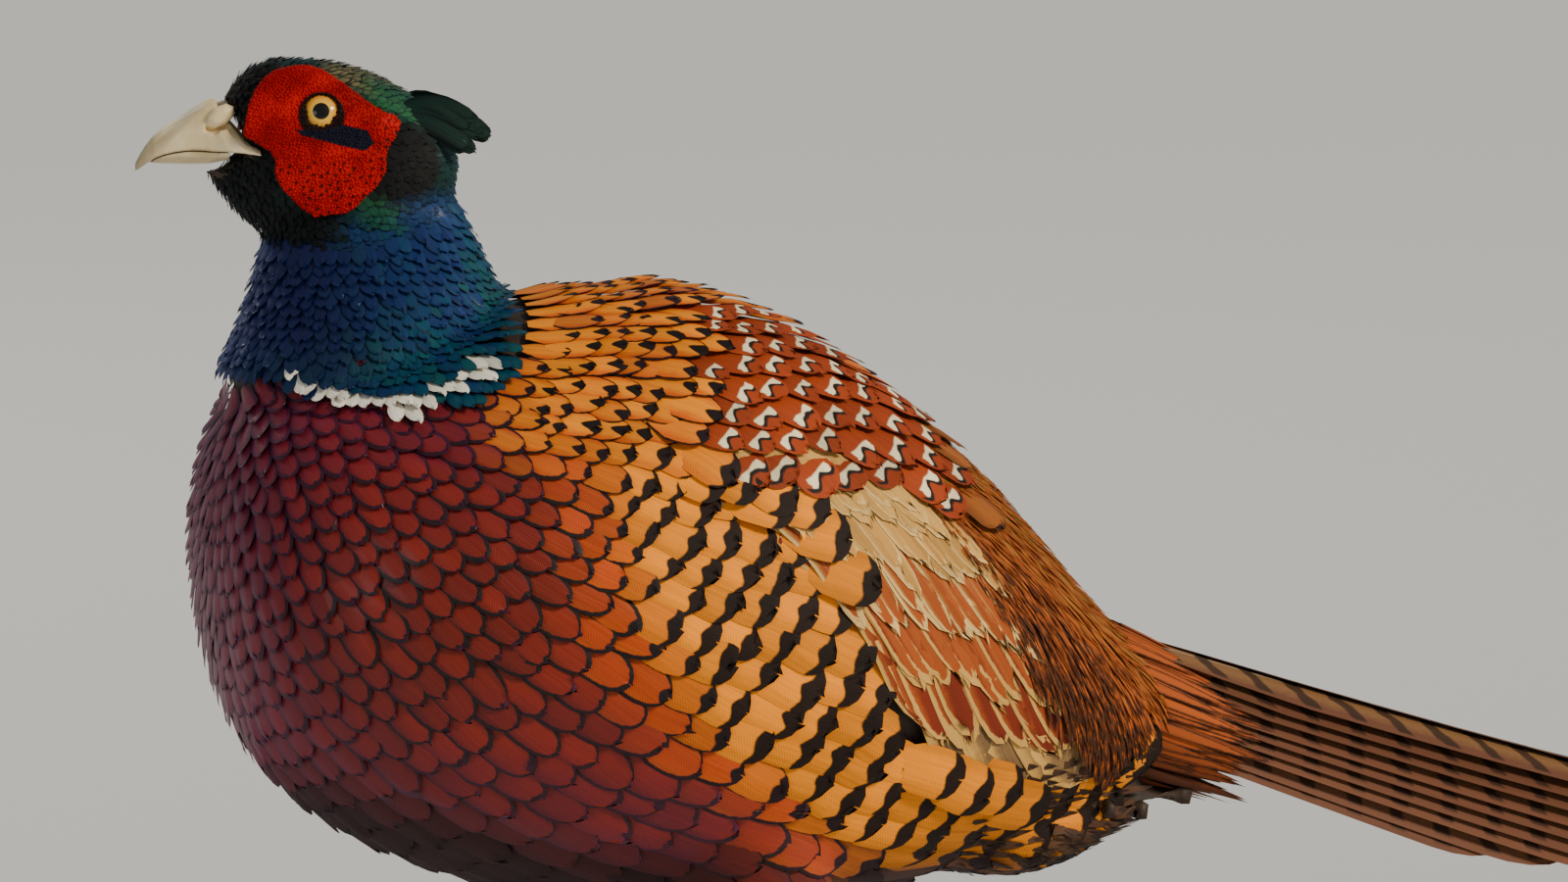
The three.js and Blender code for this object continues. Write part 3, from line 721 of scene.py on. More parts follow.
class Tree:
    """Short calls for building a node tree."""

    def __init__(self, tree: NodeTree) -> None:
        """Takes the tree of a material or group."""
        self.tree = tree

    def node(self, kind: str, feeds: dict | None = None, **values: Any) -> Node:
        """A new node with properties set and sockets fed.

        Args:
            kind: its type.
            feeds: what its inputs get, by name or number.
            **values: its properties.

        Returns:
            The node.
        """
        made = self.tree.nodes.new(kind)
        for name, value in values.items():
            setattr(made, name, value)
        for key, value in (feeds or {}).items():
            self.feed(made.inputs[key], value)
        return made

    def feed(self, socket: Socket, value: Feed) -> None:
        """Links or sets a socket.

        Args:
            socket: the input.
            value: a socket to link from, or a value to set.
        """
        if isinstance(value, bpy.types.NodeSocket):
            self.tree.links.new(value, socket)
        elif isinstance(value, (np.ndarray, tuple)):
            socket.default_value = (*value, 1) if len(value) == 3 and socket.type == "RGBA" else value
        else:
            socket.default_value = value

    def math(self, operation: str, *values: Feed, clamp: bool = False) -> Socket:
        """The result of a Math node."""
        made = self.node("ShaderNodeMath", dict(enumerate(values)), operation=operation, use_clamp=clamp)
        return made.outputs[0]

    def plus(self, first: Feed, second: Feed) -> Socket:
        """The sum of two values."""
        return self.math("ADD", first, second)

    def minus(self, first: Feed, second: Feed) -> Socket:
        """The first value less the second."""
        return self.math("SUBTRACT", first, second)

    def times(self, first: Feed, second: Feed) -> Socket:
        """The product of two values."""
        return self.math("MULTIPLY", first, second)

    def step(self, value: Feed, low: Feed, high: Feed) -> Socket:
        """A soft step between two values."""
        feeds = {"Value": value, "From Min": low, "From Max": high}
        return self.node("ShaderNodeMapRange", feeds, interpolation_type="SMOOTHSTEP").outputs["Result"]

    def mix(self, share: Feed, low: Feed, high: Feed, how: str = "MIX") -> Socket:
        """Two colours mixed."""
        feeds = {0: share, 6: low, 7: high}
        return self.node("ShaderNodeMix", feeds, data_type="RGBA", blend_type=how).outputs[2]

    def value(self, name: str) -> Socket:
        """A number kept in the mesh."""
        return self.node("ShaderNodeAttribute", attribute_name=name).outputs["Fac"]

    def colour(self, name: str) -> Socket:
        """A colour kept in the mesh."""
        return self.node("ShaderNodeAttribute", attribute_name=name).outputs["Color"]

    def noise(self, place: Socket, scale: Feed, detail: float = 2.0) -> Socket:
        """Noise from a place."""
        feeds = {"Vector": place, "Scale": scale, "Detail": detail}
        return self.node("ShaderNodeTexNoise", feeds).outputs["Fac"]

    def place(self) -> Socket:
        """Object coordinates."""
        return self.node("ShaderNodeTexCoord").outputs["Object"]


def group(
    name: str, inputs: dict[str, str], outputs: dict[str, str], build: Callable[[Tree, dict], dict],
) -> NodeTree:
    """A shader node group.

    Args:
        name: its name.
        inputs: names and socket types of its inputs.
        outputs: names and socket types of its outputs.
        build: function from the tree and the inputs by name to the outputs by name.

    Returns:
        The group's tree.
    """
    made = bpy.data.node_groups.new(name, "ShaderNodeTree")
    for key, kind in inputs.items():
        made.interface.new_socket(key, in_out="INPUT", socket_type=kind)
    for key, kind in outputs.items():
        made.interface.new_socket(key, in_out="OUTPUT", socket_type=kind)
    tree = Tree(made)
    entry, leave = tree.node("NodeGroupInput"), tree.node("NodeGroupOutput")
    for key, value in build(tree, {key: entry.outputs[key] for key in inputs}).items():
        tree.feed(leave.inputs[key], value)
    return made


FLOAT, COLOUR = "NodeSocketFloat", "NodeSocketColor"
VANE_INPUTS = ("Grain", "Unevenness", "Fringe", "Shaft", "Slant", "Lines", "Barbs", "Variation", "Streak")
BAR_SIZES = {"Unevenness": 5.0, "Sweep": 0.5, "Pace": 0.42, "Edge": 1.0}


def vane_pattern(tree: Tree, given: dict[str, Socket]) -> dict[str, Socket]:
    """A vane's marks: a band that swings across its tip, sides of another colour and a pale shaft.

    Args:
        tree: the group's tree.
        given: the group's inputs by name.

    Returns:
        The group's outputs by name.
    """
    uv = tree.node("ShaderNodeUVMap", uv_map="Vane").outputs["UV"]
    parts = tree.node("ShaderNodeSeparateXYZ", {0: uv})
    x = tree.math("ABSOLUTE", tree.math("MULTIPLY_ADD", parts.outputs[0], 2.0, -1.0))
    v = parts.outputs[1]
    place = tree.place()
    grain = tree.minus(tree.noise(place, given["Grain"], 3), 0.5)
    swing = tree.math("COSINE", tree.times(x, 6.2))
    begins = tree.minus(tree.value("reach"), tree.times(swing, tree.value("wave")))
    begins = tree.plus(begins, tree.times(grain, given["Unevenness"]))
    band = tree.step(tree.minus(v, begins), -0.015, 0.02)
    room = tree.minus(tree.value("inset"), tree.value("edge"))
    room = tree.plus(room, tree.times(grain, given["Fringe"]))
    mark = tree.math("MAXIMUM", band, tree.math("SUBTRACT", 1.0, tree.step(room, -0.2, 0.2)), clamp=True)
    sure = tree.value("line")
    begin = tree.math("MULTIPLY_ADD", sure, 0.3, 0.3)
    end = tree.math("MULTIPLY_ADD", sure, -0.19, 0.85)
    flank = tree.step(tree.plus(x, tree.times(grain, 0.3)), begin, end)
    above = tree.times(tree.minus(1.0, tree.step(v, 0.67, 0.7)), sure)
    flank = tree.math("MAXIMUM", flank, above)
    colour = tree.mix(flank, tree.colour("ground"), tree.colour("base"))
    shaft = tree.times(tree.minus(1.0, tree.step(x, 0.015, 0.05)), given["Shaft"])
    shaft = tree.times(shaft, tree.minus(1.0, tree.step(v, 0.55, 0.85)))
    colour = tree.mix(shaft, colour, given["Shaft Colour"])
    inner = tree.times(tree.step(tree.minus(v, begins), -0.07, -0.045), sure)
    colour = tree.mix(inner, colour, (0.012, 0.008, 0.008))
    colour = tree.mix(mark, colour, tree.colour("mark"))
    slant = tree.minus(tree.value("along"), tree.times(x, given["Slant"]))
    barbs = tree.math("SINE", tree.times(slant, given["Barbs"]))
    feeds = {0: tree.times(parts.outputs[0], given["Lines"]), 1: v, 2: tree.times(tree.value("tone"), 90.0)}
    spot = tree.node("ShaderNodeCombineXYZ", feeds)
    lines = tree.minus(tree.noise(spot.outputs[0], 1.0, 2), 0.5)
    fine = tree.plus(tree.times(barbs, 0.3), tree.times(lines, 2.2))
    bright = tree.math("MULTIPLY_ADD", tree.value("tone"), given["Variation"], 1.0)
    bright = tree.minus(bright, tree.times(given["Variation"], 0.5))
    bright = tree.math("MULTIPLY_ADD", fine, given["Streak"], bright)
    tint = tree.node("ShaderNodeCombineColor", dict.fromkeys(range(3), bright))
    colour = tree.mix(1.0, colour, tint.outputs[0], "MULTIPLY")
    return {"Colour": colour, "Height": fine, "Shine": tree.value("shine")}


def tail_bars(tree: Tree, given: dict[str, Socket]) -> dict[str, Socket]:
    """Dark bars across the long feathers, in mm along them.

    Args:
        tree: the group's tree.
        given: the group's inputs by name.

    Returns:
        The group's outputs by name.
    """
    place = tree.place()
    along = tree.plus(tree.value("along"), tree.times(tree.noise(place, 130.0), given["Unevenness"]))
    swing = tree.times(tree.value("inset"), given["Sweep"])
    cycle = tree.math("SINE", tree.times(tree.plus(along, swing), given["Pace"]))
    bar = tree.step(cycle, 0.25, 0.75)
    middle = tree.step(tree.value("inset"), given["Edge"], tree.plus(given["Edge"], 1.5))
    return {"Bars": tree.times(bar, middle)}


def mottle(tree: Tree, given: dict[str, Socket]) -> dict[str, Socket]:
    """Uneven colour and fine relief on bare skin and horn.

    Args:
        tree: the group's tree.
        given: the group's inputs by name.

    Returns:
        The group's outputs by name.
    """
    place = tree.place()
    broad = tree.step(tree.noise(place, given["Scale"], 4), 0.35, 0.7)
    fine = tree.noise(place, given["Fine Scale"], 3)
    return {"Colour": tree.mix(broad, given["Low"], given["High"]), "Height": fine}


class Groups:
    """The effects that several materials use, each made once."""

    def __init__(self) -> None:
        """Builds the groups."""
        self.vane = group(
            "VanePattern",
            {**dict.fromkeys(VANE_INPUTS, FLOAT), "Shaft Colour": COLOUR},
            {"Colour": COLOUR, "Height": FLOAT, "Shine": FLOAT}, vane_pattern)
        self.bars = group("TailBars", dict.fromkeys(BAR_SIZES, FLOAT), {"Bars": FLOAT}, tail_bars)
        self.mottle = group(
            "Mottle", {"Scale": FLOAT, "Fine Scale": FLOAT, "Low": COLOUR, "High": COLOUR},
            {"Colour": COLOUR, "Height": FLOAT}, mottle)


def start_material(name: str) -> tuple[Material, Tree, Node]:
    """A new material, its tree and its shader.

    Args:
        name: the material's name.

    Returns:
        The three of them.
    """
    made = bpy.data.materials.new(name)
    made.use_nodes = True
    tree = Tree(made.node_tree)
    return made, tree, made.node_tree.nodes["Principled BSDF"]


def set_inputs(shader: Node, **values: Any) -> None:
    """Sets the shader's sockets by their names."""
    for name, value in values.items():
        shader.inputs[name.replace("_", " ")].default_value = value


def add_bump(tree: Tree, shader: Node, height: Socket, strength: float, distance: float) -> None:
    """Feeds a height to the shader's normal."""
    bump = tree.node("ShaderNodeBump", {"Strength": strength, "Distance": distance, "Height": height})
    tree.feed(shader.inputs["Normal"], bump.outputs["Normal"])


@dataclass(frozen=True)
class FeatherFinish:
    """Vanes with marks and barbs, and a painted sheen: a colour that they turn to at a slant."""

    name: str
    # painted sheen: the colour that a shining vane turns to where it is seen at a slant
    shimmer: Tint = (0.3, 0.1, 0.3)
    roughness: float = 0.5  # where the vane shines
    dullness: float = 0.68  # where it doesn't
    gloss: float = 0.22
    metallic: float = 0.0
    coat: float = 0.0
    grain: float = 500.0
    unevenness: float = 0.04
    fringe: float = 0.8
    shaft: float = 0.0
    shaft_colour: Tint = (0.8, 0.7, 0.5)
    slant: float = 6.0
    barbs: float = 7.0
    lines: float = 16.0
    variation: float = 0.35
    streak: float = 0.16
    relief: float = 0.35
    bars: tuple = ()  # colour, then how strongly they show

    def build(self, groups: Groups) -> Material:
        """Makes the material of a coat.

        Args:
            groups: the shared effects.

        Returns:
            The material.
        """
        made, tree, shader = start_material(self.name)
        vane = tree.node("ShaderNodeGroup", node_tree=groups.vane)
        for key in (*VANE_INPUTS, "Shaft Colour"):
            tree.feed(vane.inputs[key], getattr(self, key.lower().replace(" ", "_")))
        colour = vane.outputs["Colour"]
        if self.bars:
            stripes = tree.node("ShaderNodeGroup", node_tree=groups.bars)
            for key, value in BAR_SIZES.items():
                tree.feed(stripes.inputs[key], value)
            share = tree.times(stripes.outputs["Bars"], self.bars[1])
            colour = tree.mix(share, colour, self.bars[0])
        # painted sheen: the colour turns to shimmer by the facing angle times the shine
        facing = tree.node("ShaderNodeLayerWeight", {"Blend": 0.45})
        share = tree.math("MULTIPLY", facing.outputs["Facing"], vane.outputs["Shine"], clamp=True)
        colour = tree.mix(share, colour, self.shimmer)
        tree.feed(shader.inputs["Base Color"], colour)
        tree.feed(shader.inputs["Metallic"], tree.times(vane.outputs["Shine"], self.metallic))
        dull = tree.math("MULTIPLY_ADD", vane.outputs["Shine"], self.roughness - self.dullness, self.dullness)
        tree.feed(shader.inputs["Roughness"], dull)
        tree.feed(shader.inputs["Coat Weight"], tree.times(vane.outputs["Shine"], self.coat))
        set_inputs(shader, Specular_IOR_Level=self.gloss, Coat_Roughness=0.25)
        add_bump(tree, shader, vane.outputs["Height"], self.relief, 0.0002)
        return made


@dataclass(frozen=True)
class SkinFinish:
    """Bare skin, horn or the dull skin under the plumage."""

    name: str
    low: Tint
    high: Tint
    roughness: float = 0.6
    gloss: float = 0.4
    scale: float = 90.0
    fine_scale: float = 1500.0
    relief: float = 0.3
    subsurface: float = 0.0
    spotted: bool = False  # reads the mesh's stain and darkens there

    def build(self, groups: Groups) -> Material:
        """Makes the material of bare skin or horn.

        Args:
            groups: the shared effects.

        Returns:
            The material.
        """
        made, tree, shader = start_material(self.name)
        base = tree.node("ShaderNodeGroup", node_tree=groups.mottle)
        for key in ("Scale", "Fine Scale", "Low", "High"):
            tree.feed(base.inputs[key], getattr(self, key.lower().replace(" ", "_")))
        colour = base.outputs["Colour"]
        if self.spotted:
            colour = tree.mix(tree.value("stain"), colour, tree.colour("stain_colour"))
        tree.feed(shader.inputs["Base Color"], colour)
        set_inputs(shader, Roughness=self.roughness, Specular_IOR_Level=self.gloss,
                   Subsurface_Weight=self.subsurface, Subsurface_Radius=(0.002, 0.0007, 0.0004))
        add_bump(tree, shader, base.outputs["Height"], self.relief, 0.0003)
        return made


@dataclass(frozen=True)
class EyeFinish:
    """A wet eye, coloured by the distance from the middle of its gaze, in mm."""

    name: str = "eye_wet"
    pupil: float = 2.35
    iris: float = 5.3
    inner: ClassVar[Array] = srgb(252, 196, 66)
    outer: ClassVar[Array] = srgb(226, 134, 20)
    rim: ClassVar[Array] = srgb(40, 18, 10)

    def build(self) -> Material:
        """Makes the material of the eyes.

        Returns:
            The material.
        """
        made, tree, shader = start_material(self.name)
        gaze = tree.value("gaze")
        rays = tree.noise(tree.place(), 1400.0, 2)
        colour = tree.mix(tree.step(gaze, self.pupil, self.iris), self.inner, self.outer)
        colour = tree.mix(tree.times(rays, 0.35), colour, self.rim)
        colour = tree.mix(tree.step(gaze, self.iris - 0.4, self.iris + 0.2), colour, self.rim)
        colour = tree.mix(tree.step(gaze, self.pupil - 0.1, self.pupil + 0.15), (0.003, 0.003, 0.003), colour)
        tree.feed(shader.inputs["Base Color"], colour)
        set_inputs(shader, Roughness=0.5, Specular_IOR_Level=0.1, Coat_Weight=0.5, Coat_Roughness=0.03)
        return made


# The bird


@dataclass
class Body:
    """The plumage's outer form and the skin within it."""

    whole: tuple = ("torso", "neck", "head", "thigh_left", "thigh_right", "vent")
    depth: float = 2.6  # from the form to the skin, in mm
    head_depth: float = 0.9
    neck_heights: tuple = (244, 258)  # between which the one depth turns into the other
    spine: tuple = ((-150, 150), (190, 95))  # the line that the unwrap turns round, height by x
    core: tuple = ((-138, -30, 60, 144), (158, 140, 125, 100))  # a line inside the trunk, height by x

    def __post_init__(self) -> None:
        """Fuses the nodes and reads the forms."""
        shell = fused("skin", self.whole, voxel=2.4, rounds=7, inflate=-1.4)
        self.form = Surface(shell)
        trunk = fused("trunk", ("torso",), voxel=3.0, rounds=5, inflate=-1.0)
        self.trunk = Surface(trunk)
        bpy.data.objects.remove(trunk)
        self.skin = shell
        self.xs = np.arange(-138, 144, 2.0)
        self._profile()

    def _profile(self) -> None:
        """Measures the trunk's top, bottom and half width along x."""
        heights = np.interp(self.xs, *self.core)
        ends = {}
        for key, way in (("top", (0, 0, 1)), ("bottom", (0, 0, -1)), ("side", (0, -1, 0))):
            way = np.array([way], float)
            ends[key] = np.array([self.trunk.cast((x, 0, z), way)[0] for x, z in zip(self.xs, heights)])
        self.middle = (ends["top"][:, 2] + ends["bottom"][:, 2]) / 2
        self.tall = (ends["top"][:, 2] - ends["bottom"][:, 2]) / 2
        self.half = -ends["side"][:, 1]

    def sizes(self, x: Array) -> tuple[Array, ...]:
        """The trunk's middle height, half height and half width at x."""
        return tuple(np.interp(x, self.xs, values) for values in (self.middle, self.tall, self.half))

    def around(self, points: Array) -> Array:
        """How far round from the back's ridge the points lie, in degrees."""
        middle, tall, half = self.sizes(points[..., 0])
        return np.degrees(np.arctan2(np.abs(points[..., 1]) / half, (points[..., 2] - middle) / tall))

    def on_side(self, x: Array, angle: Array) -> tuple[Array, Array]:
        """Places on the trunk's left side by x and degrees from the ridge, and the normals there.

        Args:
            x: place along the body, in mm.
            angle: degrees from the ridge.

        Returns:
            Places and normals.
        """
        middle, tall, half = self.sizes(x)
        a = np.radians(angle)
        places = np.stack([x, -half * np.sin(a), middle + tall * np.cos(a)], -1)
        return self.trunk.near(places)

    @staticmethod
    def _patch(angle: Array, along: Array) -> Array:
        """UV places with a narrow border, from an angle and a share of the length."""
        return np.stack([0.5 + 0.485 * angle / np.pi, 0.02 + 0.96 * np.clip(along, 0, 1)], 1)

    def unwrap(self, roots: Array) -> Array:
        """Places of roots on an unwrap round the body's length."""
        angle = np.arctan2(roots[:, 1], roots[:, 2] - np.interp(roots[:, 0], *self.spine))
        return self._patch(angle, (roots[:, 0] + 165) / 340)

    def unwrap_upright(self, roots: Array) -> Array:
        """Places of roots on an unwrap round the neck's upright axis.

        Args:
            roots: places in mm of the bird's frame.

        Returns:
            A UV place for each root.
        """
        away = roots - NECK_AXIS
        angle = np.arctan2(away[:, 1], away[:, 0])
        return self._patch(angle, (roots[:, 2] - 150) / 160)

    def make_skin(self, material: Material) -> None:
        """Moves the skin in by its depth and sets it in place.

        Args:
            material: the skin's material.
        """
        places = np.zeros(len(self.skin.data.vertices) * 3)
        normals = np.zeros(len(places))
        self.skin.data.vertices.foreach_get("co", places)
        self.skin.data.vertices.foreach_get("normal", normals)
        places, normals = places.reshape(-1, 3), normals.reshape(-1, 3)
        depth = np.interp(places[:, 2] * 1000, self.neck_heights, (self.depth, self.head_depth))
        self.skin.data.vertices.foreach_set("co", (places - normals * depth[:, None] / 1000).ravel())
        self.skin.data.update()
        self.skin.data.materials.append(material)
        settle(self.skin, self.whole)


@dataclass
class Plumage:
    """The small feathers of the trunk, in rings that spread from under the neck."""

    body: Body
    neck: "Neck"
    centre: tuple = (-40.0, 0.0, 146.0)
    pole: tuple = (-116.0, 0.0, 210.0)
    first: float = 16.0  # the rings' least and greatest distance from the pole
    last: float = 262.0
    spacing: tuple = ((20, 60, 95, 130, 160), (5.2, 6.4, 7.4, 9.4, 10.6))  # by distance from the pole
    gold_front: tuple = ((72, 92, 117, 151, 193), (22, -3, -32, -50, -58))  # x of the gold's edge by height
    black_top: tuple = ((-140, -110, -60, 0, 40), (111, 99, 81, 71, 67))  # height by x of the dark underside's edge: the belly's own black-brown and painted shade
    wing_upper: tuple = ((-6, 25, 51, 70), (57, 54, 44, 38))  # degrees from the ridge by x
    wing_lower: tuple = ((-20, -3.6, 30, 50, 60, 100), (50, 58, 73, 104, 116, 122))
    wing_rear: tuple = ((38, 64, 67, 92, 109, 119), (58, 60, 74, 86, 92, 96))  # x by degrees from the ridge
    wing_front: float = -8.0
    maroon: ClassVar[Array] = srgb(118, 30, 14)
    copper: ClassVar[Array] = srgb(184, 70, 10)
    gold: ClassVar[Array] = srgb(246, 144, 0)
    orange: ClassVar[Array] = srgb(206, 90, 6)
    black: ClassVar[Array] = srgb(20, 10, 10)
    brown: ClassVar[Array] = srgb(50, 28, 18)
    cream: ClassVar[Array] = srgb(240, 224, 184)
    chestnut: ClassVar[Array] = srgb(150, 58, 20)
    rust: ClassVar[Array] = srgb(150, 84, 30)

    def rings(self) -> tuple[Array, Array]:
        """Roots in staggered rings over the trunk, and the distance between them.

        Returns:
            The roots, and the distance between rings for each.
        """
        centre, pole = np.array(self.centre), np.array(self.pole)
        axis = unit(pole - centre)
        side = np.array([0.0, -1.0, 0.0])
        turns, falls = np.radians(np.arange(0, 360, 4)), np.radians(np.arange(1, 180, 1.5))
        t, f = np.meshgrid(turns, falls, indexing="ij")
        ways = ways_round(axis, side, t, f)
        table = self.body.trunk.cast(centre, ways.reshape(-1, 3)).reshape(ways.shape)
        far = np.maximum.accumulate(np.linalg.norm(table - pole, axis=2), axis=1)
        roots, sizes, radius, row = [], [], self.first, 0
        while radius < self.last:
            gap = float(np.interp(radius, *self.spacing))
            ring = np.array([
                [np.interp(radius, line, places[:, k]) for k in range(3)] for line, places in zip(far, table)
            ])
            valid = far[:, 0] < radius
            steps = np.linalg.norm(np.roll(ring, -1, 0) - ring, axis=1) * valid * np.roll(valid, -1)
            count = int(steps.sum() / (gap * 1.02))
            if count > 3:
                roots.append(spaced(ring, steps, count, 0.5 * (row % 2)))
                sizes.append(np.full(count, gap))
            radius += gap * 0.9
            row += 1
        return np.vstack(roots), np.concatenate(sizes)

    def look(self, roots: Array, angle: Array, rng: Rng) -> tuple[Look, Array]:
        """Colours and marks by the feathers' places, and how far each belongs to the flank.

        Args:
            roots: where the feathers grow.
            angle: degrees from the ridge.
            rng: random generator.

        Returns:
            The looks, and the shares of the flank.
        """
        x, _, z = roots.T
        count = len(roots)
        breast = Look.plain(count, self.maroon, self.black, self.maroon * 0.6, edge=1.1, shine=0.8)
        turning = Look.plain(count, self.copper, self.black, self.orange * 0.8, reach=0.86, wave=0.03,
                             edge=1.2, shine=0.3)
        flank = Look.plain(count, self.gold, self.brown * 0.4, self.gold * 0.75, reach=0.79, wave=0.03,
                           edge=-1.0)
        # the dark underside: partly the belly's black-brown, partly painted shade under the trunk
        underside_and_shade = Look.plain(count, self.brown * 0.5, self.brown * 0.3, self.brown * 0.4, reach=0.8, wave=0.1,
                           shine=0.1)
        mantle = Look.plain(count, self.gold * 0.9, self.black, self.orange, reach=0.82, wave=0.1, edge=0.4)
        shoulder = Look.plain(count, self.cream, self.chestnut, self.chestnut, reach=0.83, wave=0.05,
                              edge=1.0, line=1.0)
        rump = Look.plain(count, self.rust, self.brown, self.rust * 0.6, edge=0.3)
        line = np.interp(z, *self.gold_front)
        share = smooth(-5, 12, x - line)
        made = breast.mixed(turning, smooth(-26, -4, x - line)).mixed(flank, share)
        back = smooth(186, 200, z) * smooth(-90, -72, x)
        made = made.mixed(mantle, back).mixed(turning, back * rng.uniform(-0.3, 0.5, count).clip(0))
        near = smooth(-30, -4, x + 0.35 * (angle - 30)) * smooth(60, 52, angle) * smooth(6, 14, angle)
        made = made.mixed(shoulder, (near > rng.uniform(0.2, 0.8, count)).astype(float))
        made = made.mixed(rump, ((x > 54) & (angle < 96)).astype(float))
        # darker towards the bottom: belly colour and painted shade below black_top
        limit = np.interp(x, *self.black_top)
        return made.mixed(underside_and_shade, 1 - smooth(-10, 12, z - limit)), share * (1 - back)

    def winged(self, x: Array, angle: Array, margin: float) -> Array:
        """Whether places on the trunk lie under the folded wing, grown by a margin in degrees and mm.

        Args:
            x: place along the body, in mm.
            angle: degrees from the ridge.
            margin: how far inside the wing they lie, in mm and degrees.

        Returns:
            One truth value for each place.
        """
        low, high = np.interp(x, *self.wing_upper) + margin, np.interp(x, *self.wing_lower) - margin
        rear = np.interp(angle, *self.wing_rear) - margin
        return (angle > low) & (angle < high) & (x < rear) & (x > self.wing_front + margin)

    def build(self, coat: Coat) -> None:
        """Grows the trunk's feathers.

        Args:
            coat: the mesh that they join.
        """
        neck = self.neck
        roots, gaps = self.rings()
        angle = self.body.around(roots)
        x = roots[:, 0]
        above = roots[:, 2] - neck.border(roots)
        bare = (x > 118) | ((x > 62) & (angle < 84)) | ((x < neck.back(roots) + 4) & (above > 4))
        headings = unit(unit(roots - np.array(self.pole)) + np.array([0.3, 0, 0]))
        fall = smooth(-40, -14, x) * smooth(62, 52, angle)
        headings = unit(headings + fall[:, None] * np.array([0, 0, -1.0]))
        tips = roots + headings * gaps[:, None] * 2.3
        deep = self.winged(tips[:, 0], self.body.around(tips), 1) & (fall < 0.5)
        deep |= self.winged(tips[:, 0], self.body.around(tips), 9)
        keep = ~self.winged(x, angle, 0) & ~bare & ~deep
        roots, gaps, angle, headings, tips, above = (
            values[keep] for values in (roots, gaps, angle, headings, tips, above))
        look, flank = self.look(roots, angle, coat.rng)
        over = self.winged(tips[:, 0], self.body.around(tips), -8).astype(float)
        over = np.maximum(over, smooth(-40, -22, roots[:, 0]) * (angle < 60))
        tucked = smooth(-8, -2, above) * (roots[:, 0] < neck.back(roots) + 8)
        for part, shape in ((flank > 0.5, Shape.SQUARE), (flank <= 0.5, Shape.SCALE)):
            cut = Cut(shape=shape, rows=8, columns=6, tip_lift=2.1, shingle=0.07)
            broad = 0.78 if shape is Shape.SQUARE else 0.7
            coat.grow(self.body.form, cut, roots[part], headings[part], gaps[part] * 2.35, gaps[part] * broad,
                      look.chosen(part), lifts=(2.8 * over - 1.2 * tucked)[part])


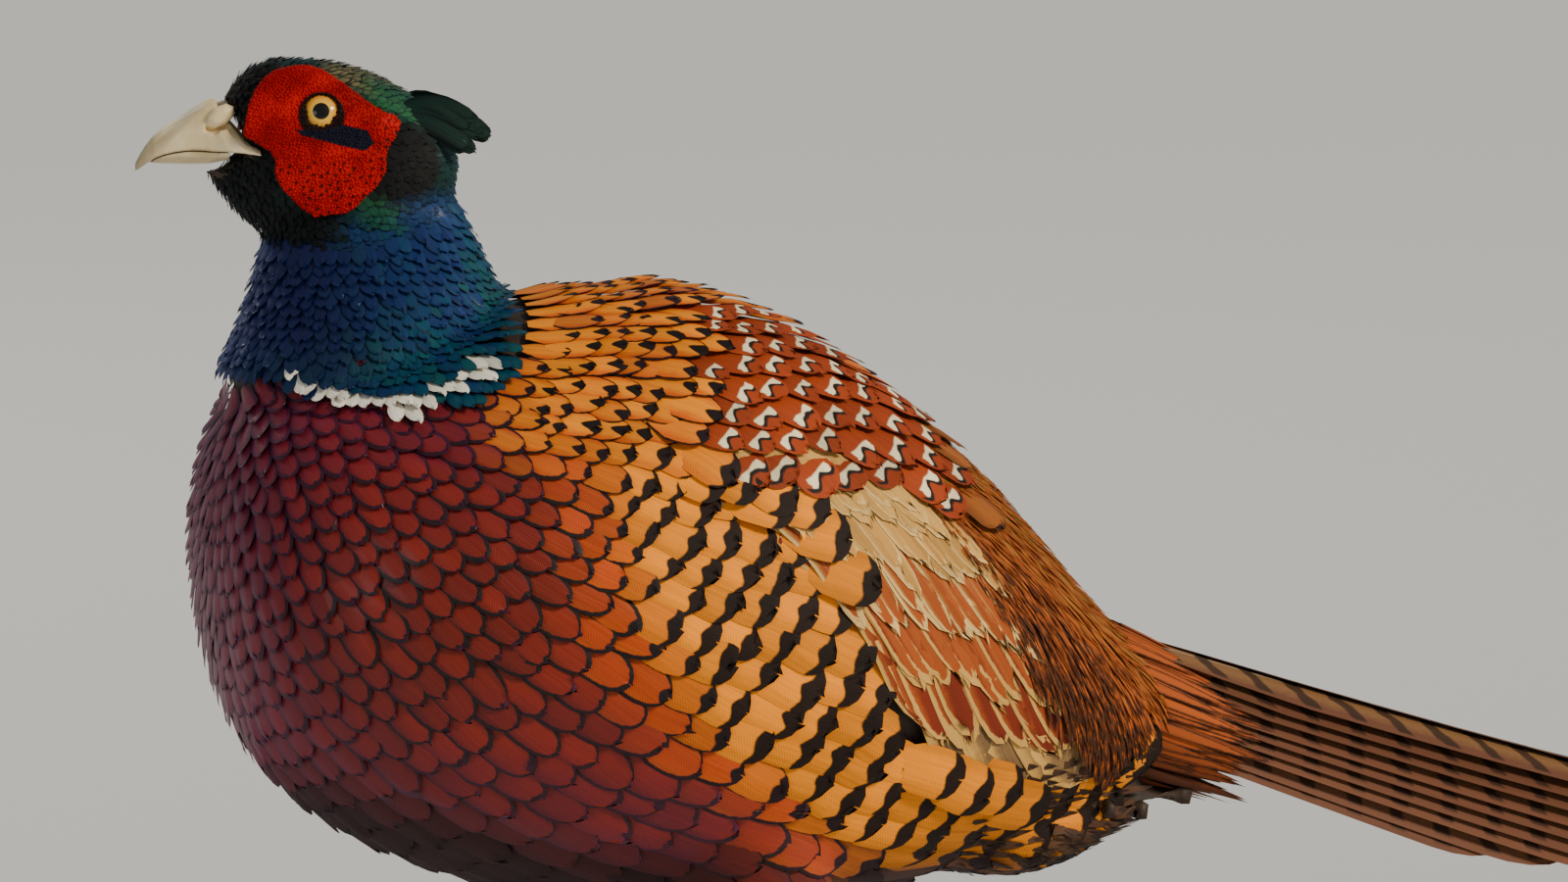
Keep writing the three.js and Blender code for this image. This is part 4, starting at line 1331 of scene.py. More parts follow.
@dataclass
class Neck:
    """Shining scales from the head's foot down to the collar."""

    body: Body
    blue: ClassVar[Array] = srgb(14, 44, 86)
    green: ClassVar[Array] = srgb(6, 80, 72)
    # painted shade: the dark purple that the neck's front takes, away from the light
    purple: ClassVar[Array] = srgb(18, 16, 44)
    white: ClassVar[Array] = srgb(238, 233, 218)
    row_step: float = 2.9
    spacing: float = 3.3
    length: float = 9.0
    half: float = 2.3
    foot: tuple = ((0, 35, 60, 88, 110, 131, 150, 180), (212, 212, 206, 202.5, 206, 214, 217, 224))  # by turn
    core: tuple = ((200, 262), (-93, -95))  # x of the neck's middle by height
    nape: tuple = ((216, 232, 250), (-66, -58, -56))  # x of the plumage's back by height
    collar: tuple = ((40, 52, 70, 88, 106, 120), (214.0, 210.5, 206.0, 204.5, 208.5, 214.0))  # height by turn

    def turn(self, points: Array) -> Array:
        """How far round from the front the points lie, in degrees."""
        return np.degrees(np.abs(np.arctan2(points[:, 1], -(points[:, 0] - NECK_AXIS[0]))))

    def border(self, points: Array) -> Array:
        """Height of the neck plumage's lower border at the points."""
        return np.interp(self.turn(points), *self.foot)

    def back(self, points: Array) -> Array:
        """How far back the neck plumage reaches at the points."""
        return np.interp(points[:, 2], *self.nape)

    def near_collar(self, points: Array) -> Array:
        """How far above or below the white collar's line the points lie, in mm.

        Args:
            points: places in mm of the bird's frame.

        Returns:
            A distance for each point.
        """
        turns, heights = self.collar
        turn = self.turn(points)
        outside = np.maximum(turns[0] - turn, turn - turns[-1]).clip(0)
        return np.abs(points[:, 2] - np.interp(turn, turns, heights)) + outside

    def build(self, coat: Coat) -> None:
        """Grows the neck's feathers in rows.

        Args:
            coat: the mesh that they join.
        """
        roots = []
        turns = np.radians(np.arange(0, 360, 3))
        ways = np.stack([np.cos(turns), np.sin(turns), 0 * turns], 1)
        for row, height in enumerate(np.arange(264, 194, -self.row_step)):
            middle = np.interp(height, *self.core)
            ring = self.body.form.cast((middle, 0, height), ways)
            steps = np.linalg.norm(np.roll(ring, -1, 0) - ring, axis=1)
            count = int(steps.sum() / self.spacing)
            roots.append(spaced(ring, steps, count, 0.5 * (row % 2)))
        roots = np.vstack(roots)
        a, _, _ = in_head(roots)
        keep = (roots[:, 2] > self.border(roots)) & (roots[:, 0] < self.back(roots))
        keep &= roots[:, 2] < Head.foot(a) + 3
        roots = roots[keep]
        count = len(roots)
        low = smooth(232, 204, roots[:, 2])
        front = smooth(-92, -120, roots[:, 0])
        base = Look.plain(count, self.blue, self.blue * 0.4, self.blue, edge=0.25, shine=1.0)
        green = Look.plain(count, self.green, self.green * 0.4, self.green, edge=0.25, shine=0.35)
        purple = Look.plain(count, self.purple, self.blue * 0.4, self.purple, edge=0.25, shine=1.0)
        # teal: the lower neck's own colour, and a painted highlight on the neck's rear, the side that faces
        # the light
        teal_and_lit_share = np.maximum(smooth(236, 216, roots[:, 2]) * 0.8, smooth(-84, -64, roots[:, 0]))
        look = base.mixed(green, np.clip(teal_and_lit_share * 0.85 + coat.rng.normal(0.06, 0.2, count), 0, 1))
        # painted shade: the front of the neck turns to purple, less so low down
        look = look.mixed(purple, front * (1 - 0.4 * low))
        collar = Look.plain(count, self.white, self.white, self.white * 0.9)
        far = self.near_collar(roots)
        look = look.mixed(collar, smooth(2.3, 2.0, far + coat.rng.normal(0, 0.7, count)))
        away = roots - NECK_AXIS
        headings = np.stack([0.35 * away[:, 0] / 40 + 0.25, 0.35 * away[:, 1] / 40, -np.ones(count)], 1)
        cut = Cut(rows=6, columns=4, tip_lift=1.5, camber=0.3, fray=0.06)
        coat.grow(self.body.form, cut, roots, headings,
                  np.full(count, self.length), np.full(count, self.half), look,
                  lifts=1.3 * smooth(14, 4, roots[:, 2] - self.border(roots)))


@dataclass
class Head:
    """The small feathers of the head, and the places of its eyes and bare skin."""

    body: Body
    eye: tuple = (12.2, 12.3, 282.4)
    outline: tuple = (
        (34.3, 276.7), (32.3, 286.6), (27.5, 293.6), (19.6, 296.2), (11, 294.4), (-2.6, 284.6), (-9.6, 280.8),
        (-5.2, 272.6), (-4.3, 265.4), (6.8, 254.1), (14.5, 253.8), (24.9, 264), (26, 271.9),
    )
    spacing: float = 1.6
    lengths: tuple = ((0, 20, 44), (5.6, 4.6, 3.4))  # by the distance ahead
    crown: tuple = ((-12, 12, 20), (287.5, 298, 298))  # heights of the top line and of the bright stripe
    stripe: tuple = ((-16, 0, 16), (284, 289, 297))
    black: ClassVar[Array] = srgb(12, 14, 15)
    green: ClassVar[Array] = srgb(10, 48, 40)
    bright: ClassVar[Array] = srgb(34, 104, 62)
    blue: ClassVar[Array] = srgb(18, 50, 96)
    bronze: ClassVar[Array] = srgb(128, 116, 78)
    olive: ClassVar[Array] = srgb(70, 72, 44)

    @staticmethod
    def foot(ahead: Array) -> Array:
        """Height of the head plumage's lower edge by the distance ahead."""
        return np.maximum(246, 258 - (ahead + 30) * 0.45)

    def in_wattle(self, points: Array, margin: float) -> Array:
        """Whether the points lie in the bare skin's outline, made smaller by the margin.

        Args:
            points: places in mm of the bird's frame.
            margin: how much smaller, in mm.

        Returns:
            One truth value for each point.
        """
        a, y, z = in_head(points)
        shape = np.array(self.outline)
        away = shape - shape.mean(0)
        shape = shape.mean(0) + away * (1 - margin / np.linalg.norm(away, axis=1, keepdims=True))
        return inside(np.stack([a, z], 1), shape) & (np.abs(y) > 6)

    def build(self, coat: Coat) -> None:
        """Grows the head's feathers.

        Args:
            coat: the mesh that they join.
        """
        def keep(points: Array) -> Array:
            """Whether the head's feathers grow at the points.

            Args:
                points: places in mm of the bird's frame.

            Returns:
                One truth value for each point.
            """
            a, _, z = in_head(points)
            on_bill = (a > 40.5) & (z > 268.5) & (z < 285)
            return (z > self.foot(a)) & ~self.in_wattle(points, 1.5) & ~on_bill & (a < 48.5)

        roots = self.body.form.scatter(self.spacing, keep, coat.rng)
        a, _, z = in_head(roots)
        count = len(roots)
        look = Look.plain(count, self.green, self.black, self.green, edge=0.1, shine=1.0)
        dark = Look.plain(count, self.black, self.black * 0.5, self.black, edge=0.1, shine=0.12)
        crown = Look.plain(count, self.bronze, self.black, self.olive, edge=0.35, shine=0.2)
        bright = Look.plain(count, self.bright, self.black, self.bright, edge=0.1, shine=1.0)
        look = look.mixed(dark, np.maximum(smooth(20, 30, a), smooth(264, 256, z) * smooth(2, 14, a)))
        ridge = z - np.interp(a, *self.crown)
        look = look.mixed(crown, smooth(-7, -4, ridge) * smooth(18, 12, a) * 0.85)
        stripe = smooth(5.5, 2.5, np.abs(z - np.interp(a, *self.stripe))) * smooth(8, -2, a) * (z > 281)
        under = smooth(8, 3, np.hypot(a + 1.5, z - 256.5) + coat.rng.normal(0, 1, count)) * 0.7
        look = look.mixed(bright, np.clip(np.maximum(stripe, under), 0, 1) * 0.9)
        look = look.mixed(dark, smooth(14, 9, np.hypot(a + 7, z - 271)) * smooth(284, 280, z))
        blue = Look.plain(count, self.blue, self.blue * 0.4, self.blue, edge=0.2, shine=0.8)
        foot = smooth(264, 256, z + 0.3 * (a + 10)) * smooth(14, 4, a + coat.rng.normal(0, 2, count))
        look = look.mixed(blue, foot * (1 - under))
        fall = smooth(292, 262, z)
        headings = -FORWARD + np.multiply.outer(-fall * 0.9 - 0.1, UPWARD)
        lengths = np.interp(a, *self.lengths)
        cut = Cut(rows=4, columns=2, tip_lift=0.45, root_lift=-0.8, camber=0.15, fray=0.06)
        coat.grow(self.body.form, cut, roots, headings, lengths, lengths * 0.27, look)


@dataclass
class EarTuft:
    """Flat dark locks that stand back from the crown on either side."""

    root: tuple = (-10.0, 10.6, 282.5)
    locks: int = 44
    length: float = 25.5
    spread: float = 5.0
    half: float = 1.9
    green: ClassVar[Array] = srgb(8, 36, 30)

    def build(self, body: Body, material: Material) -> None:
        """Makes a tuft on each side.

        Args:
            body: the body, for its unwrap.
            material: the tufts' material.
        """
        for side in Side:
            coat = Coat(f"ear_feathers_{side.word}", body.unwrap_upright, SEED + side.value)
            cut = Cut(shape=Shape.BLADE, rows=8, columns=4, root_lift=0, tip_lift=0, camber=0.3, fray=0.015)
            v = cut.shape.rows(cut.rows)
            f = coat.rng.uniform(-1, 1, self.locks)[:, None]
            out = coat.rng.uniform(0, 1, self.locks)[:, None]
            long = self.length * (1 - 0.2 * f**2) * coat.rng.uniform(0.72, 1, (self.locks, 1))
            a = self.root[0] - long * v
            y = self.root[1] + 0.6 * f - 1 + 1.4 * out + 3.2 * v
            fan = f * self.spread * (0.3 + 0.7 * np.sin(np.pi / 2 * v))
            z = self.root[2] + 2.4 * np.sin(np.pi * v) - 6 * v - fan
            axes = from_head(a, side.value * y, z)
            normals = np.broadcast_to(unit(side.value * RIGHTWARD + 0.2 * UPWARD), axes.shape)
            look = Look.plain(self.locks, self.green, self.green * 0.3, self.green * 0.5, edge=0.2, shine=1.0)
            coat.webs(cut, axes, normals, np.full(self.locks, self.half), look)
            coat.piece(material, (f"ear_tuft_{side.word}",))


@dataclass(frozen=True)
class Tier:
    """One row of a folded wing's feathers, by x and degrees from the ridge at its first and last feather."""

    count: int
    root: tuple
    tip: tuple
    half: float
    lift: tuple
    bow: float
    ground: Tint
    mark: Tint
    base: Tint
    edge: float
    rows: int = 8
    columns: int = 6


@dataclass
class Wing:
    """The folded wings over the flanks."""

    body: Body
    x_spread: float = 3.0  # unevenness of the tips along the body, in mm, and round it, in degrees
    turn_spread: float = 1.8
    sand: ClassVar[Array] = srgb(190, 140, 70)
    chestnut: ClassVar[Array] = srgb(120, 40, 16)
    rust: ClassVar[Array] = srgb(164, 78, 26)
    buff: ClassVar[Array] = srgb(208, 160, 84)
    cream: ClassVar[Array] = srgb(222, 184, 116)
    brown: ClassVar[Array] = srgb(128, 98, 62)

    def tiers(self) -> tuple[Tier, ...]:
        """The wing's rows, the lowest first.

        Returns:
            The rows.
        """
        return (
            Tier(6, ((24, 67), (48, 57)), ((68, 121), (107, 124)), half=8, lift=(0.3, 0.9), bow=5,
                 ground=self.brown, mark=self.buff, base=self.buff, edge=1.0, rows=10),
            Tier(15, ((4, 72), (46, 44)), ((47, 106), (104, 108)), half=6, lift=(0.5, 1.5), bow=9,
                 ground=self.chestnut, mark=self.buff, base=self.rust, edge=1.2, rows=12),
            Tier(19, ((-4, 68), (40, 45)), ((40, 94), (98, 94)), half=4, lift=(0.7, 2.0), bow=7,
                 ground=self.rust, mark=self.buff, base=self.chestnut, edge=1.0, rows=10, columns=4),
            Tier(26, ((-14, 66), (34, 46)), ((28, 86), (88, 80)), half=3.3, lift=(0.8, 2.3), bow=6,
                 ground=self.rust, mark=self.cream, base=self.sand, edge=0.9, rows=9, columns=4),
            Tier(26, ((-11, 61), (29, 47)), ((18, 75), (76, 67)), half=3.3, lift=(1.0, 2.6), bow=5,
                 ground=self.sand, mark=self.cream, base=self.buff, edge=0.5, rows=9, columns=4),
            Tier(24, ((-13, 57), (23, 48)), ((10, 68), (64, 60)), half=3.3, lift=(1.1, 2.8), bow=4.5,
                 ground=self.buff, mark=self.cream, base=self.sand, edge=0.5, columns=4),
            Tier(22, ((-16, 54), (12, 48)), ((0, 63), (50, 58)), half=3.4, lift=(1.2, 3.0), bow=4.5,
                 ground=self.buff, mark=self.cream, base=self.sand, edge=0.4, columns=4),
        )

    def build(self, coat: Coat) -> None:
        """Lays the rows over both sides.

        Args:
            coat: the mesh that they join.
        """
        for tier in self.tiers():
            cut = Cut(Shape.BLADE, tier.rows, tier.columns, *tier.lift, camber=0.3, shingle=0.07, fray=0.03)
            v = cut.shape.rows(cut.rows)
            f = np.linspace(0, 1, tier.count)[:, None]
            f = f + coat.rng.normal(0, 0.12 / tier.count, f.shape)
            ends = [[low + (high - low) * f for low, high in zip(*pair)] for pair in (tier.root, tier.tip)]
            ends[1][0] = ends[1][0] + coat.rng.normal(0, self.x_spread, f.shape)
            ends[1][1] = ends[1][1] + coat.rng.normal(0, self.turn_spread, f.shape)
            x = ends[0][0] + (ends[1][0] - ends[0][0]) * v
            angle = ends[0][1] + (ends[1][1] - ends[0][1]) * v - tier.bow * np.sin(np.pi * v)
            axes, normals = self.body.on_side(x, angle)
            look = Look.plain(tier.count, tier.ground, tier.mark, tier.base, edge=tier.edge)
            coat.webs(cut, axes, normals, np.full(tier.count, tier.half), look, self.body.trunk, mirror=True)


@dataclass
class Rump:
    """Narrow strands that lie back from the ridge and hang over the tail's root."""

    body: Body
    count: int = 1900
    lengths: tuple = (20, 30)
    half: float = 1.25
    span: tuple = (46, 128)  # from the front to the rear, x
    turns: tuple = (46, 98)  # and the greatest degrees from the ridge
    rust: ClassVar[Array] = srgb(190, 86, 18)
    olive: ClassVar[Array] = srgb(140, 104, 44)
    dark: ClassVar[Array] = srgb(70, 38, 18)

    def build(self, coat: Coat) -> None:
        """Grows the strands over both sides.

        Args:
            coat: the mesh that they join.
        """
        rng = coat.rng
        front = rng.random(self.count)
        angle = rng.uniform(0, 1, self.count) * np.interp(front, (0, 1), self.turns)
        x = np.interp(front, (0, 1), self.span) - 8 * (angle / 90)
        roots, _ = self.body.on_side(x, angle)
        slope = np.radians(25 + 45 * angle / 90)
        headings = np.stack([np.cos(slope), -0.25 * np.sin(np.radians(angle)), -np.sin(slope)], 1)
        red = np.clip(rng.random(self.count) * 0.6 + smooth(25, 80, angle), 0, 1)
        olive = Look.plain(self.count, self.olive, self.rust, self.rust)
        rust = Look.plain(self.count, self.rust, self.dark, self.dark, edge=0.5)
        cut = Cut(Shape.STRAND, 7, 2, root_lift=-0.2, tip_lift=3.0, camber=0.2, fray=0.02)
        lengths = rng.uniform(*self.lengths, self.count)
        halves = np.full(self.count, self.half)
        coat.grow(self.body.trunk, cut, roots, headings, lengths, halves, olive.mixed(rust, red), mirror=True)


@dataclass
class Tail:
    """Long barred feathers in pairs, the middle pair the longest."""

    lengths: tuple = (455, 400, 345, 292, 246, 206, 172, 146, 126)
    root: tuple = (126.0, 125.4)
    slope: tuple = (17.4, 7.2)
    half: float = 13.5
    start: float = 4.0
    first_offset: float = 6.2
    first_tilt: float = 14.0
    tilt_step: float = 4.2
    out_step: float = 1.95
    down_step: float = 1.65
    fan_step: float = 0.53
    ground: ClassVar[Array] = srgb(136, 98, 60)
    edge: ClassVar[Array] = srgb(108, 68, 48)

    def ridge(self, distance: Array) -> tuple[Array, Array, Array]:
        """Height and slope of the tail's top line by the distance along it.

        Args:
            distance: distances along the line, in mm.

        Returns:
            Place along the body, height and slope in radians.
        """
        def slope_at(along: Array) -> Array:
            """The slope at a distance along the tail, in radians."""
            t = smooth(0.1, 1, along / self.lengths[0])
            return np.radians(self.slope[0] + (self.slope[1] - self.slope[0]) * t)

        steps = 24
        x, z = np.full(distance.shape, self.root[0]), np.full(distance.shape, self.root[1])
        for i in range(steps):
            slope = slope_at(distance * (i + 0.5) / steps)
            x = x + distance / steps * np.cos(slope)
            z = z - distance / steps * np.sin(slope)
        return x, z, slope_at(distance)

    def build(self, coat: Coat) -> None:
        """Lays the pairs below one another.

        Args:
            coat: the mesh that they join.
        """
        offset, drop, tilt = self.first_offset, 0.0, self.first_tilt
        for pair, length in enumerate(self.lengths):
            cut = Cut(Shape.BLADE, 24 if pair < 4 else 14, 4, root_lift=0, tip_lift=0, camber=2.2, fray=0.006)
            v = cut.shape.rows(cut.rows)
            distance = (self.start + (length - self.start) * v)[None]
            x, z, slope = self.ridge(distance)
            lean, fan = math.radians(tilt), math.radians(self.fan_step * pair)
            y = -(offset * (1 - 0.35 * v * length / self.lengths[0]) + distance * math.sin(fan) * 0.25)
            axes = np.stack([x, y, z - drop - distance * math.sin(fan)], -1)
            across = np.full(x.shape, -math.sin(lean))
            normals = np.stack([np.sin(slope) * math.cos(lean), across, np.cos(slope) * math.cos(lean)], -1)
            look = Look.plain(1, self.ground, self.edge, self.edge, edge=0.75, line=0.15)
            normals = unit(normals + coat.rng.normal(0, 0.06, (1, 1, 3)))
            coat.webs(cut, axes, normals, np.array([self.half * (1 - 0.028 * pair)]), look, mirror=True)
            offset += self.out_step * math.cos(lean) - self.down_step * math.sin(lean)
            drop += self.out_step * math.sin(lean) + self.down_step * math.cos(lean)
            tilt += self.tilt_step


@dataclass
class TailCoverts:
    """Straight strands that sheathe the tail's root above, beside and below."""

    tail: Tail
    count: int = 330
    lengths: tuple = (30, 48)
    half: float = 1.7
    rust: ClassVar[Array] = srgb(176, 82, 24)
    dark: ClassVar[Array] = srgb(74, 38, 20)

    def build(self, coat: Coat) -> None:
        """Lays the strands on both sides.

        Args:
            coat: the mesh that they join.
        """
        rng = coat.rng
        turn = np.radians(rng.uniform(0, 180, self.count))  # from the top round to the bottom
        start = rng.uniform(0, 1, self.count)
        cut = Cut(Shape.STRAND, 8, 2, root_lift=0, tip_lift=0, camber=0.2, fray=0.02)
        v = cut.shape.rows(cut.rows)
        length = rng.uniform(*self.lengths, self.count) * (1 - 0.25 * turn / np.pi)
        distance = -16 + 22 * start[:, None] + length[:, None] * v
        x, z, slope = self.tail.ridge(np.abs(distance))
        x = np.where(distance < 0, 2 * self.tail.root[0] - x, x)
        z = np.where(distance < 0, 2 * self.tail.root[1] - z, z)
        open_out = 1 - 0.16 * smooth(0, 40, distance) + 0.05 * rng.normal(0, 1, (self.count, 1))
        side = (4 + 20 * open_out) * np.sin(turn)[:, None]
        drop = 19 - 21.5 * open_out * np.cos(turn)[:, None] + 0.08 * distance
        axes = np.stack([x, -side, z - drop], -1)
        across, upright = -np.sin(turn)[:, None] * np.ones_like(x), np.cos(turn)[:, None] * np.cos(slope)
        normals = np.stack([np.sin(slope), across, upright], -1)
        low = smooth(80, 150, np.degrees(turn))
        look = Look.plain(self.count, self.rust, self.dark, self.rust * 0.7, edge=0.4)
        dark = Look.plain(self.count, self.dark, self.dark * 0.6, self.dark)
        look = look.mixed(dark, np.clip(low + rng.normal(0, 0.2, self.count), 0, 1))
        coat.webs(cut, axes, unit(normals), np.full(self.count, self.half), look, mirror=True)


@dataclass
class Vent:
    """Soft dark strands under the tail and down the thighs."""

    body: Body
    spacing: float = 3.2
    half: float = 1.8
    length: float = 14.0
    leg_length: float = 10.0
    brown: ClassVar[Array] = srgb(58, 40, 30)
    warm: ClassVar[Array] = srgb(98, 66, 42)

    def build(self, coat: Coat) -> None:
        """Grows the strands.

        Args:
            coat: the mesh that they join.
        """
        def keep(points: Array) -> Array:
            """Whether the strands grow at the points.

            Args:
                points: places in mm of the bird's frame.

            Returns:
                One truth value for each point.
            """
            x, _, z = points.T
            under = (x > 62) & (z < 92) & (x < 122)
            leg = (z < 56) & (x > -24) & (x < 40)
            return under | leg

        roots = self.body.form.scatter(self.spacing, keep, coat.rng)
        leg = smooth(58, 48, roots[:, 2]) * smooth(56, 40, roots[:, 0])
        headings = blend(np.array([1.0, 0, -0.12]), np.array([0.35, 0, -1.0]), leg)
        lengths = blend(np.array([self.length]), np.array([self.leg_length]), leg)[:, 0]
        look = Look.plain(len(roots), self.brown, self.brown * 0.5, self.warm, reach=0.85, wave=0.1, edge=0.1)
        warm = Look.plain(len(roots), self.warm, self.brown, self.brown, reach=0.85, wave=0.1, edge=0.1)
        look = look.mixed(warm, coat.rng.random(len(roots)) * 0.8)
        cut = Cut(Shape.STRAND, 6, 2, root_lift=-0.5, tip_lift=2.2, camber=0.2)
        coat.grow(self.body.form, cut, roots, headings, lengths, np.full(len(roots), self.half), look)


# Bare parts


def papillae(material: Material) -> NodeTree:
    """Geometry nodes that set small round knobs on a mesh and keep the mesh.

    Args:
        material: the knobs' and the mesh's material.

    Returns:
        The geometry node tree.
    """
    made = bpy.data.node_groups.new("Papillae", "GeometryNodeTree")
    shape = "NodeSocketGeometry"
    for key, way, kind in (
        ("Geometry", "INPUT", shape), ("Spacing", "INPUT", FLOAT), ("Size", "INPUT", FLOAT),
        ("Geometry", "OUTPUT", shape),
    ):
        made.interface.new_socket(key, in_out=way, socket_type=kind)
    tree = Tree(made)
    entry = tree.node("NodeGroupInput").outputs
    points = tree.node(
        "GeometryNodeDistributePointsOnFaces",
        {"Mesh": entry["Geometry"], "Distance Min": entry["Spacing"], "Density Max": 4e6, "Seed": SEED},
        distribute_method="POISSON")
    knob = tree.node("GeometryNodeMeshIcoSphere", {"Subdivisions": 2, "Radius": entry["Size"]})
    vary = tree.node("FunctionNodeRandomValue", {2: 0.75, 3: 1.2, "Seed": SEED})
    copies = tree.node(
        "GeometryNodeInstanceOnPoints",
        {"Points": points.outputs["Points"], "Instance": knob.outputs["Mesh"], "Scale": vary.outputs[1]})
    real = tree.node("GeometryNodeRealizeInstances", {"Geometry": copies.outputs["Instances"]})
    both = tree.node("GeometryNodeJoinGeometry", {0: entry["Geometry"]})
    tree.feed(both.inputs[0], real.outputs["Geometry"])
    paint = tree.node("GeometryNodeSetMaterial", {"Geometry": both.outputs["Geometry"], "Material": material})
    tree.node("NodeGroupOutput", {"Geometry": paint.outputs["Geometry"]})
    return made


def run_nodes(made: Object, tree: NodeTree, values: dict[str, float]) -> None:
    """Runs geometry nodes on an object and keeps the result as its mesh.

    Args:
        made: the object.
        tree: the geometry nodes.
        values: inputs by name.
    """
    modifier = made.modifiers.new("nodes", "NODES")
    modifier.node_group = tree
    for item in tree.interface.items_tree:
        if item.in_out == "INPUT" and item.name in values:
            modifier[item.identifier] = values[item.name]
    apply_modifiers(made)


@dataclass
class BareFace:
    """The red skin round each eye, with its knobs, and the eyes."""

    head: Head
    eye_radius: float = 7.2
    rise: float = 14.0  # of the gaze, in degrees
    ahead: float = 6.0
    spacing: float = 0.00072  # of the knobs, in metres
    knob: float = 0.0004
    spot_spacing: float = 1.9
    rim: ClassVar[Array] = srgb(26, 6, 6)
    blue_black: ClassVar[Array] = srgb(12, 14, 34)
    patch: tuple = (
        (20.2, 279.0), (13.2, 278.4), (6.6, 280.2), (0.0, 278.6), (-1.9, 275.0), (0.7, 272.9), (7.4, 274.3),
        (13.2, 275.9), (18.5, 277.3),
    )

    def build(self, skin: Material, eye: Material) -> None:
        """Makes both sides.

        Args:
            skin: the red skin's material.
            eye: the eyes' material.
        """
        tree = papillae(skin)
        for side in Side:
            made = fused(f"bare_skin_{side.word}", (f"wattle_{side.word}",), voxel=0.4, rounds=3)
            run_nodes(made, tree, {"Spacing": self.spacing, "Size": self.knob})
            settle(made, (f"wattle_{side.word}",))
            self._stain(made, side)
            self._eye(side, eye)

    def _stain(self, made: Object, side: Side) -> None:
        """Marks the eye's dark rim, the feathered patch behind it and the spots on the cheek.

        Args:
            made: the side's skin.
            side: which side it is on.
        """
        places = places_of(made.data)
        a, _, z = in_head(places)
        eye_a, _, eye_z = self.head.eye
        around = np.hypot(a - eye_a - 0.6, z - eye_z - 0.4)
        patch = inside(np.stack([a, z], 1), np.array(self.patch))
        cheek = smooth(274, 268, z) + smooth(2, -6, a) * smooth(284, 279, z)
        rng = np.random.default_rng(SEED + side.value)
        spots = Surface(made).scatter(self.spot_spacing, lambda p: p[:, 2] < 290, rng)
        tree = KDTree(len(spots))
        for i, spot in enumerate(spots):
            tree.insert(spot, i)
        tree.balance()
        far = np.array([tree.find(p)[2] for p in places.tolist()])
        spotted = smooth(0.62, 0.45, far) * np.clip(cheek, 0, 1) * 0.9
        stain = np.clip(np.maximum(np.maximum(smooth(6.9, 6.2, around), patch), spotted), 0, 1)
        set_attribute(made, "stain", stain)
        set_attribute(made, "stain_colour", blend(self.rim, self.blue_black, patch.astype(float)))

    def _eye(self, side: Side, material: Material) -> None:
        """A fine ball with the distance from the middle of the gaze.

        Args:
            side: which side it is on.
            material: the eye's material.
        """
        a, y, z = self.head.eye
        centre = from_head(a, side.value * y, z)
        rise, ahead = math.radians(self.rise), math.radians(self.ahead)
        gaze = side.value * RIGHTWARD * math.cos(rise) + FORWARD * math.sin(ahead) + UPWARD * math.sin(rise)
        gaze = unit(gaze)
        rows, columns = 48, 72
        falls = np.linspace(0.0005, np.pi - 0.0005, rows + 1)  # the poles stay open by a hair
        turns = np.linspace(0, 2 * np.pi, columns + 1)[:-1]
        f, t = np.meshgrid(falls, turns, indexing="ij")
        ways = ways_round(gaze, unit(np.cross(gaze, UPWARD)), t, f)
        r, c = np.meshgrid(np.arange(rows), np.arange(columns), indexing="ij")
        low = (r * columns + c).ravel()
        after = (r * columns + (c + 1) % columns).ravel()
        quads = np.stack([low, after, after + columns, low + columns], 1)[:, ::-1]
        made = make_object(f"eyeball_{side.word}", (centre + self.eye_radius * ways).reshape(-1, 3), quads)
        set_attribute(made, "gaze", (self.eye_radius * np.where(f < np.pi / 2, np.sin(f), 1.2)).ravel())
        made.data.materials.append(material)
        settle(made, (f"eye_{side.word}",))


@dataclass
class Bill:
    """Smoothed copies of the bill's halves."""

    voxel: float = 0.35
    ridge: tuple = ((46, 64), (284.5, 268))  # the upper half's top line, ahead and above
    grey: ClassVar[Array] = srgb(112, 104, 88)

    def build(self, material: Material) -> None:
        """Makes both halves.

        Args:
            material: the bill's material.
        """
        for half in ("bill_upper", "bill_lower"):
            made = fused(f"{half}_horn", (half,), voxel=self.voxel, rounds=2)
            a, _, z = in_head(places_of(made.data))
            tip = smooth(54, 64, a) * 0.5
            ridge = smooth(3.0, 0.5, np.abs(z - np.interp(a, *self.ridge))) * 0.45 * smooth(42, 50, a)
            stain = np.maximum(tip, ridge)
            set_attribute(made, "stain", stain)
            set_attribute(made, "stain_colour", np.tile(self.grey, (len(stain), 1)))
            made.data.materials.append(material)
            settle(made, (half,))


@dataclass
class Legs:
    """Finishes for the CAD's own shanks, feet, spurs and claws."""

    def build(self, skin: Material, horn: Material) -> None:
        """Gives the nodes their materials.

        Args:
            skin: material of the shanks and feet.
            horn: material of the claws and spurs.
        """
        for name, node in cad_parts.items():
            part = name.split("_")[0]
            if part in ("shank", "foot", "claw", "spur"):
                node.data.materials.clear()
                node.data.materials.append(skin if part in ("shank", "foot") else horn)
                for face in node.data.polygons:
                    face.use_smooth = True


# The studio


